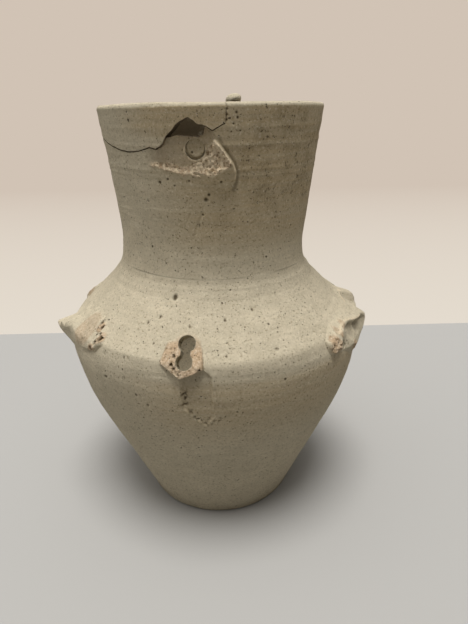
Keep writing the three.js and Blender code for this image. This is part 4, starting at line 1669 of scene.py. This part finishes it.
LUGS = (
    LugShape(
        node="lug_left_front",
        middle=-66.0,
        angles=(-91.0, -40.0),
        heights=(104.0, 140.0),
        spots=(
            (-82.6, 120.2, 10.4), (-83.2, 118.6, 10.2), (-81.4, 116.6, 8.2), (-78.2, 114.2, 4.8),
            (-74.0, 112.0, 1.5), (-78.8, 122.2, 8.6), (-74.3, 124.4, 6.4), (-69.1, 126.2, 4.4),
            (-79.7, 118.4, 8.2), (-74.6, 121.2, 6.2), (-70.2, 123.5, 4.2), (-63.3, 123.2, 3.0),
            (-75.5, 117.0, 4.0), (-70.5, 118.8, 2.2), (-66.0, 119.6, 2.0), (-62.5, 118.6, 1.6),
            (-68.0, 114.4, 0.5), (-71.1, 128.2, 2.6), (-66.0, 130.6, 2.2), (-61.2, 132.4, 2.0),
            (-56.9, 133.0, 1.8), (-53.4, 133.0, 1.6), (-49.8, 131.4, 1.7), (-47.2, 129.0, 1.9),
            (-46.2, 126.6, 2.0), (-47.8, 123.6, 2.2), (-50.8, 121.4, 2.2), (-56.0, 128.0, 2.4),
            (-60.0, 124.6, 2.7), (-59.2, 121.6, 2.4), (-57.0, 118.8, 0.9), (-50.6, 119.2, 0.1),
            (-62.0, 115.0, 0.3), (-77.4, 124.9, 3.0), (-81.6, 122.7, 3.6), (-76.0, 127.2, 0.8),
            (-80.4, 125.4, 0.5), (-85.0, 122.8, 0.4), (-86.6, 119.2, 0.0), (-84.6, 114.6, -0.2),
            (-80.0, 110.4, -0.4), (-73.0, 108.6, -0.4), (-70.0, 132.0, 0.3), (-62.0, 135.2, 0.0),
            (-54.4, 135.2, -0.2), (-48.6, 133.0, -0.3), (-45.4, 129.8, -0.3), (-44.4, 125.8, -0.4),
            (-46.8, 120.8, -0.4), (-58.0, 112.0, -0.4), (-89.0, 130.0, -0.7), (-76.0, 136.0, -0.7),
            (-62.0, 138.6, -0.7), (-46.0, 137.0, -0.7), (-42.0, 127.0, -0.7), (-44.0, 116.0, -0.7),
            (-56.0, 108.0, -0.7), (-88.0, 112.0, -0.7), (-80.0, 106.0, -0.7),
        ),
        breaks=(
            (-58.5, 127.2, 9.5, 0.16), (-50.8, 131.8, 2.8, 0.7), (-47.2, 127.8, 3.2, 0.8),
            (-49.6, 122.4, 2.8, 0.6),
        ),
        gaps=(
            (-52.6, 132.8, 1.3), (-50.2, 131.2, 1.3), (-47.2, 127.8, 1.5), (-48.6, 129.2, 1.0),
            (-48.4, 125.4, 0.9), (-50.0, 122.0, 1.2),
        ),
    ),
    LugShape(
        node="lug_left_rear",
        middle=-100.0,
        angles=(-119.0, -84.0),
        heights=(109.0, 143.0),
        spots=(
            (-94.2, 134.6, 3.2), (-93.6, 132.4, 4.2), (-93.0, 130.3, 3.6), (-91.8, 128.4, 0.5),
            (-90.4, 125.1, -0.2), (-98.0, 127.0, 0.2), (-104.0, 131.0, 3.0), (-109.0, 128.0, 4.2),
            (-108.0, 122.0, 2.2), (-100.0, 122.0, 0.2), (-95.2, 136.0, -0.2), (-90.6, 132.6, -0.3),
            (-104.0, 137.0, 0.2), (-112.0, 134.0, 0.0), (-114.0, 125.0, -0.2), (-107.0, 116.0, -0.2),
            (-97.0, 116.0, -0.2), (-88.0, 122.0, -0.2), (-88.0, 131.0, -0.2), (-86.0, 140.0, -0.7),
            (-100.0, 142.0, -0.7), (-118.0, 138.0, -0.7), (-118.0, 116.0, -0.7), (-104.0, 111.0, -0.7),
            (-86.0, 114.0, -0.7),
        ),
        breaks=((-93.5, 132.6, 3.6, 0.35), (-107.0, 126.0, 6.0, 0.5)),
        hollows=((-93.2, 132.2, 3.6),),
    ),
    LugShape(
        node="lug_right_front",
        middle=64.0,
        angles=(38.0, 91.0),
        heights=(103.0, 141.0),
        spots=(
            (81.0, 121.6, 8.4), (80.6, 118.6, 7.6), (80.4, 123.4, 7.0), (76.6, 123.6, 6.6), (70.4, 124.6, 5.3),
            (64.5, 127.0, 4.3), (61.0, 128.0, 3.8), (57.9, 127.8, 3.4), (54.9, 127.2, 3.0), (50.7, 125.8, 2.5),
            (76.5, 126.8, 4.2), (71.0, 129.2, 2.2), (84.4, 126.0, 0.9), (85.0, 121.0, 2.0), (79.0, 130.2, 0.5),
            (66.0, 132.0, 0.9), (60.0, 131.4, 0.8), (54.5, 130.2, 0.4), (75.6, 121.2, 3.4), (70.0, 122.2, 2.0),
            (64.0, 124.2, 1.2), (58.6, 125.2, 1.0), (63.5, 120.7, 0.9), (57.5, 121.0, 0.7), (68.5, 118.4, 1.6),
            (74.0, 116.6, 3.2), (77.4, 114.8, 5.0), (72.0, 112.6, 2.8), (66.0, 111.8, 2.3), (60.4, 114.6, 2.0),
            (61.4, 109.6, 0.8), (43.9, 123.8, 2.4), (47.2, 124.8, 2.6), (50.4, 122.8, 3.0), (48.6, 119.4, 3.2),
            (44.8, 118.7, 2.8), (47.0, 121.8, 2.6), (51.8, 119.6, 1.4), (53.6, 118.4, 0.4), (51.4, 116.0, 0.2),
            (55.2, 114.8, 0.8), (48.6, 129.0, -0.2), (42.6, 125.6, -0.4), (42.2, 121.0, -0.4),
            (43.2, 117.0, -0.4), (47.8, 115.6, -0.4), (55.5, 111.4, -0.3), (60.0, 106.0, -0.4),
            (72.0, 107.0, -0.4), (83.0, 111.0, -0.3), (87.0, 119.0, -0.3), (88.0, 130.0, -0.7),
            (74.0, 137.0, -0.7), (56.0, 137.0, -0.7), (42.0, 133.0, -0.7), (52.0, 107.0, -0.7),
        ),
        breaks=(
            (46.9, 121.4, 5.8, 0.85), (57.5, 127.6, 2.6, 0.3), (52.0, 126.0, 2.8, 0.4),
            (62.5, 112.2, 4.0, 0.45),
        ),
        gaps=(
            (52.8, 119.6, 1.7), (53.6, 117.4, 1.5), (45.4, 121.6, 0.9), (48.8, 121.0, 0.8), (46.6, 119.4, 0.7),
        ),
        edges=(
            (
                (74.0, 124.2), (70.4, 124.7), (64.5, 127.1), (61.0, 128.1), (57.9, 127.9),
                (54.9, 127.3), (50.7, 125.9),
            ),
        ),
        hollows=((62.0, 121.6, 6.0), (69.0, 120.2, 5.5)),
    ),
    LugShape(
        node="lug_right_rear",
        middle=98.0,
        angles=(75.0, 119.0),
        heights=(109.0, 143.0),
        spots=(
            (93.4, 129.4, 5.4), (92.2, 129.6, 8.8), (90.6, 128.2, 9.0), (88.8, 124.6, 6.4), (86.0, 120.8, 4.2),
            (88.6, 131.8, 3.2), (85.5, 132.6, 2.4), (81.6, 131.4, 2.0), (79.4, 128.4, 1.7), (79.6, 125.0, 1.5),
            (84.8, 128.6, 0.8), (86.2, 125.6, 1.4), (83.2, 124.0, 1.0), (87.5, 134.2, -0.2),
            (91.4, 133.0, 1.0), (94.0, 132.6, 0.4), (97.0, 126.0, 4.2), (103.0, 127.0, 3.0),
            (108.0, 124.0, 3.4), (100.0, 119.0, 1.2), (92.0, 120.0, 3.4), (90.0, 137.4, -0.3),
            (83.0, 135.2, -0.3), (77.6, 131.5, -0.3), (77.2, 126.0, -0.3), (79.0, 119.0, -0.3),
            (88.0, 113.5, -0.3), (100.0, 113.5, -0.3), (112.0, 120.0, -0.3), (113.0, 131.0, -0.3),
            (102.0, 136.0, 0.0), (76.0, 141.0, -0.7), (98.0, 142.0, -0.7), (118.0, 138.0, -0.7),
            (118.0, 114.0, -0.7), (98.0, 110.0, -0.7), (76.0, 112.0, -0.7),
        ),
        breaks=((106.0, 125.5, 6.5, 0.5),),
        gaps=(),
        edges=(((88.6, 131.9), (85.5, 132.7), (81.6, 131.5), (79.4, 128.4)),),
        hollows=((88.6, 126.6, 4.2),),
    ),
)


@dataclass
class SideLugs(Assembly):
    """The four lugs that the lost side handles left on the shoulder."""

    lugs: tuple[LugShape, ...] = LUGS
    step: float = 0.42
    buried: float = -0.7
    gap_depth: float = 1.5
    hollow_depth: float = 0.5
    hollow_shade: float = 0.25
    edge_width: float = 0.6
    # Strength of the painted highlight along the lugs' ridges.
    edge_pale: float = 0.8

    def build(self) -> None:
        """Make and dress the four lugs."""
        for lug in self.lugs:
            self.lug(lug)

    def lug(self, shape: LugShape) -> None:
        """Make one lug.

        Args:
            shape: Its spot heights, broken places, pits and edges.
        """
        workshop, noise = self.workshop, self.noise
        scale = math.radians(1.0) * self.wall.belly[0]

        def beside(turn: float) -> float:
            """Distance of an angle from the lug's middle."""
            return (turn - shape.middle) * scale

        def reach(turn: float, level: float) -> Field:
            """Distances over the grid from a place."""
            return np.hypot(across - beside(turn), height - level)

        ends = tuple(beside(turn) for turn in shape.angles)
        across, height = workshop.sheet(ends, shape.heights, self.step)
        angle = shape.middle + across / scale
        spots = tuple((beside(turn), level, out) for turn, level, out in shape.spots)
        rise = soften(sheet_heights(spots, across, height, self.buried), 3)
        points = workshop.stand_out(angle, height, rise)
        broken, soil_and_shade, edge = (np.zeros(angle.shape) for _ in range(3))
        shown = smooth_step(0.2, 1.0, rise)
        for turn, level, size, rough in shape.breaks:
            gap = reach(turn, level) + 0.9 * noise.rough(points, 3.0)
            part = (1.0 - smooth_step(0.75 * size, size, gap)) * shown
            rise = rise + part * rough * noise.rough(points, 1.8)
            broken = np.maximum(broken, part * min(1.0, 0.45 + rough))
        for turn, level, size in shape.gaps:
            # Pits are cut in and darkened with painted shade.
            gap = reach(turn, level) + 0.45 * noise.rough(points, 1.4)
            soil_and_shade = np.maximum(soil_and_shade, 1.0 - smooth_step(0.45 * size, size, gap))
        for turn, level, size in shape.hollows:
            # Hollows are pressed in and darkened with painted shade.
            dip = 1.0 - smooth_step(0.45 * size, size, reach(turn, level))
            rise, soil_and_shade = rise - self.hollow_depth * dip, np.maximum(soil_and_shade, self.hollow_shade * dip)
        for path in shape.edges:
            route = tuple((beside(turn), level) for turn, level in path)
            # Painted highlight along ridges, with some worn pale edge.
            worn = bell(path_distance(across, height, route), self.edge_width)
            edge = np.maximum(edge, self.edge_pale * worn)
        rise = rise + 0.08 * shown * noise.rough(points, 3.0) - self.gap_depth * soil_and_shade
        masks = {SurfaceMask.BREAK: broken, SurfaceMask.SOIL_AND_SHADE: soil_and_shade, SurfaceMask.EDGE: edge}
        workshop.fit(workshop.lump(angle, height, rise, masks), shape.node, ClaySlot.FIRED, ROUND_CREASE)


@dataclass(frozen=True)
class SoftLamp:
    """Far, soft lamp: the way to it from the jug, its spread in degrees, its strength and its colour."""

    name: str
    towards: tuple[float, float, float]
    spread: float
    strength: float
    colour: Colour


@dataclass
class Studio:
    """Camera, lamps, pale surroundings and floor. Its lengths are metres."""

    image: tuple[int, int] = (468, 624)
    focal_pixels: float = 469.12
    sensor: float = 36.0
    near_clip: float = 0.01
    camera_place: tuple[float, float, float] = (0.0, -0.27591, 0.23325)
    pitch: float = 22.702
    yaw: float = 2.347
    roll: float = -0.444
    floor_colour: Colour = (0.46, 0.455, 0.442)
    floor_roughness: float = 0.9
    floor_gloss: float = 0.1
    backdrop_near: Colour = (0.775, 0.708, 0.617)
    backdrop_far: Colour = (0.638, 0.546, 0.462)
    backdrop_fade: float = 1.4
    bounce_colour: Colour = (0.27, 0.266, 0.252)
    ambient: float = 0.087
    ambient_colour: Colour = (1.0, 0.9, 0.76)
    floor_half: float = 6.0
    floor_end: float = 0.23
    lamps: tuple[SoftLamp, ...] = (
        SoftLamp("lamp_above", (-0.02, -0.165, 1.0), 26.0, 2.35, (1.0, 0.985, 0.96)),
        SoftLamp("lamp_wide", (-0.08, -0.05, 1.0), 75.0, 1.15, (1.0, 0.985, 0.96)),
        SoftLamp("lamp_left", (-1.0, -0.1, 0.3), 70.0, 0.25, (1.0, 0.98, 0.95)),
    )

    def build(self) -> None:
        """Set up the view, the light and the floor."""
        self.camera()
        self.surroundings()
        self.floor()
        for lamp in self.lamps:
            self.light(lamp)
        bpy.context.scene.view_settings.view_transform = "Standard"

    @staticmethod
    def put(name: str, data: bpy.types.ID) -> Piece:
        """Put a new object in the scene.

        Args:
            name: Name of the object.
            data: Its camera, lamp or mesh.

        Returns:
            The new object.
        """
        made = bpy.data.objects.new(name, data)
        bpy.context.scene.collection.objects.link(made)
        return made

    def camera(self) -> None:
        """Place the camera at the photograph's viewing angle."""
        lens = bpy.data.cameras.new("camera")
        lens.sensor_width = self.sensor
        lens.lens = self.focal_pixels * self.sensor / max(self.image)
        lens.clip_start = self.near_clip
        pitch, yaw, roll = (math.radians(angle) for angle in (self.pitch, self.yaw, self.roll))
        ahead = Vector((math.sin(yaw) * math.cos(pitch), math.cos(yaw) * math.cos(pitch), -math.sin(pitch)))
        right = ahead.cross(Vector(UPRIGHT)).normalized()
        above = right.cross(ahead)
        side = right * math.cos(roll) + above * math.sin(roll)
        upright = above * math.cos(roll) - right * math.sin(roll)
        axes = Matrix((side, upright, -ahead)).transposed()
        viewer = self.put("camera", lens)
        viewer.matrix_world = Matrix.Translation(self.camera_place) @ axes.to_4x4()
        bpy.context.scene.camera = viewer

    def light(self, lamp: SoftLamp) -> None:
        """Hang one lamp.

        Args:
            lamp: Its direction, spread and strength.
        """
        data = bpy.data.lights.new(lamp.name, "SUN")
        data.angle = math.radians(lamp.spread)
        data.energy, data.color = lamp.strength, lamp.colour
        towards = -Vector(lamp.towards)
        self.put(lamp.name, data).rotation_euler = towards.to_track_quat("-Z", "Y").to_euler()

    def surroundings(self) -> None:
        """Light the scene evenly and show a pale colour behind the floor."""
        world = bpy.data.worlds.new("surroundings")
        world.use_nodes = True
        world.node_tree.nodes.clear()
        bench = NodeBench(world.node_tree)
        lights = ((self.ambient_colour, self.ambient), (self.backdrop_far, 1.0))
        ambient, shown = (
            bench.add("ShaderNodeBackground", {"Color": opaque(colour), "Strength": strength}).outputs[0]
            for colour, strength in lights
        )
        bench.add("ShaderNodeOutputWorld", {"Surface": self.as_seen(bench, ambient, shown)})
        bpy.context.scene.world = world

    def floor(self) -> None:
        """Lay the plain pale floor, and the backdrop that lies beyond it."""
        bench, shader = self.sheet("floor", -self.floor_half, self.floor_end)
        shown = bench.blend(self.seen(bench), self.bounce_colour, self.floor_colour)
        bench.join(shown, shader.inputs["Base Color"])

        bench, shader = self.sheet("backdrop", self.floor_end, self.floor_half)
        shader.inputs["Base Color"].default_value = opaque(self.bounce_colour)
        place = bench.add("ShaderNodeTexCoord").outputs["Object"]
        away = bench.add("ShaderNodeSeparateXYZ", {"Vector": place}).outputs["Y"]
        ends = {"Value": away, "From Min": self.floor_end, "From Max": self.backdrop_fade}
        fade = bench.add("ShaderNodeMapRange", ends).outputs[0]
        pale = bench.blend(fade, self.backdrop_near, self.backdrop_far)
        glow = bench.add("ShaderNodeEmission", {"Color": pale}).outputs[0]
        mixed = self.as_seen(bench, shader.outputs[0], glow)
        bench.join(mixed, bench.find("OUTPUT_MATERIAL").inputs["Surface"])

    def sheet(self, name: str, near: float, far: float) -> tuple[NodeBench, bpy.types.Node]:
        """Lay one plain sheet on the ground.

        Args:
            name: Name of the sheet.
            near: Its near edge.
            far: Its far edge.

        Returns:
            Bench of its material, and its shader.
        """
        mesh = bpy.data.meshes.new(name)
        half = self.floor_half
        corners = [(-half, near, 0.0), (half, near, 0.0), (half, far, 0.0), (-half, far, 0.0)]
        mesh.from_pydata(corners, [], [(0, 1, 2, 3)])
        material = bpy.data.materials.new(name)
        material.use_nodes = True
        bench = NodeBench(material.node_tree)
        shader = bench.find("BSDF_PRINCIPLED")
        shader.inputs["Roughness"].default_value = self.floor_roughness
        shader.inputs["Specular IOR Level"].default_value = self.floor_gloss
        mesh.materials.append(material)
        ground = self.put(name, mesh)
        return bench, shader

    def as_seen(self, bench: NodeBench, lit: Any, shown: Any) -> Socket:
        """Shader that lights the scene in one way and is seen in another."""
        inputs = {"Fac": self.seen(bench), "Shader": lit, "Shader_001": shown}
        return bench.add("ShaderNodeMixShader", inputs).outputs[0]

    @staticmethod
    def seen(bench: NodeBench) -> Socket:
        """Socket that is 1 for rays that show a surface to the camera, a reflection or a clear body."""
        path = bench.add("ShaderNodeLightPath").outputs
        return bench.most(path["Is Camera Ray"], path["Is Glossy Ray"], path["Is Transmission Ray"])


def main() -> None:
    """Build the jug's pieces in order."""
    logging.basicConfig(level=logging.INFO, format="%(message)s")
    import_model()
    Studio().build()
    workshop = Workshop.opened(seed=11)
    body = JugBody(workshop)
    neck = JugNeck(workshop)
    for assembly in (body, neck, HandleScars(workshop, body, neck), SideLugs(workshop)):
        assembly.build()
        LOG.info("%s is built", type(assembly).__name__)


if __name__ == "__main__":
    main()
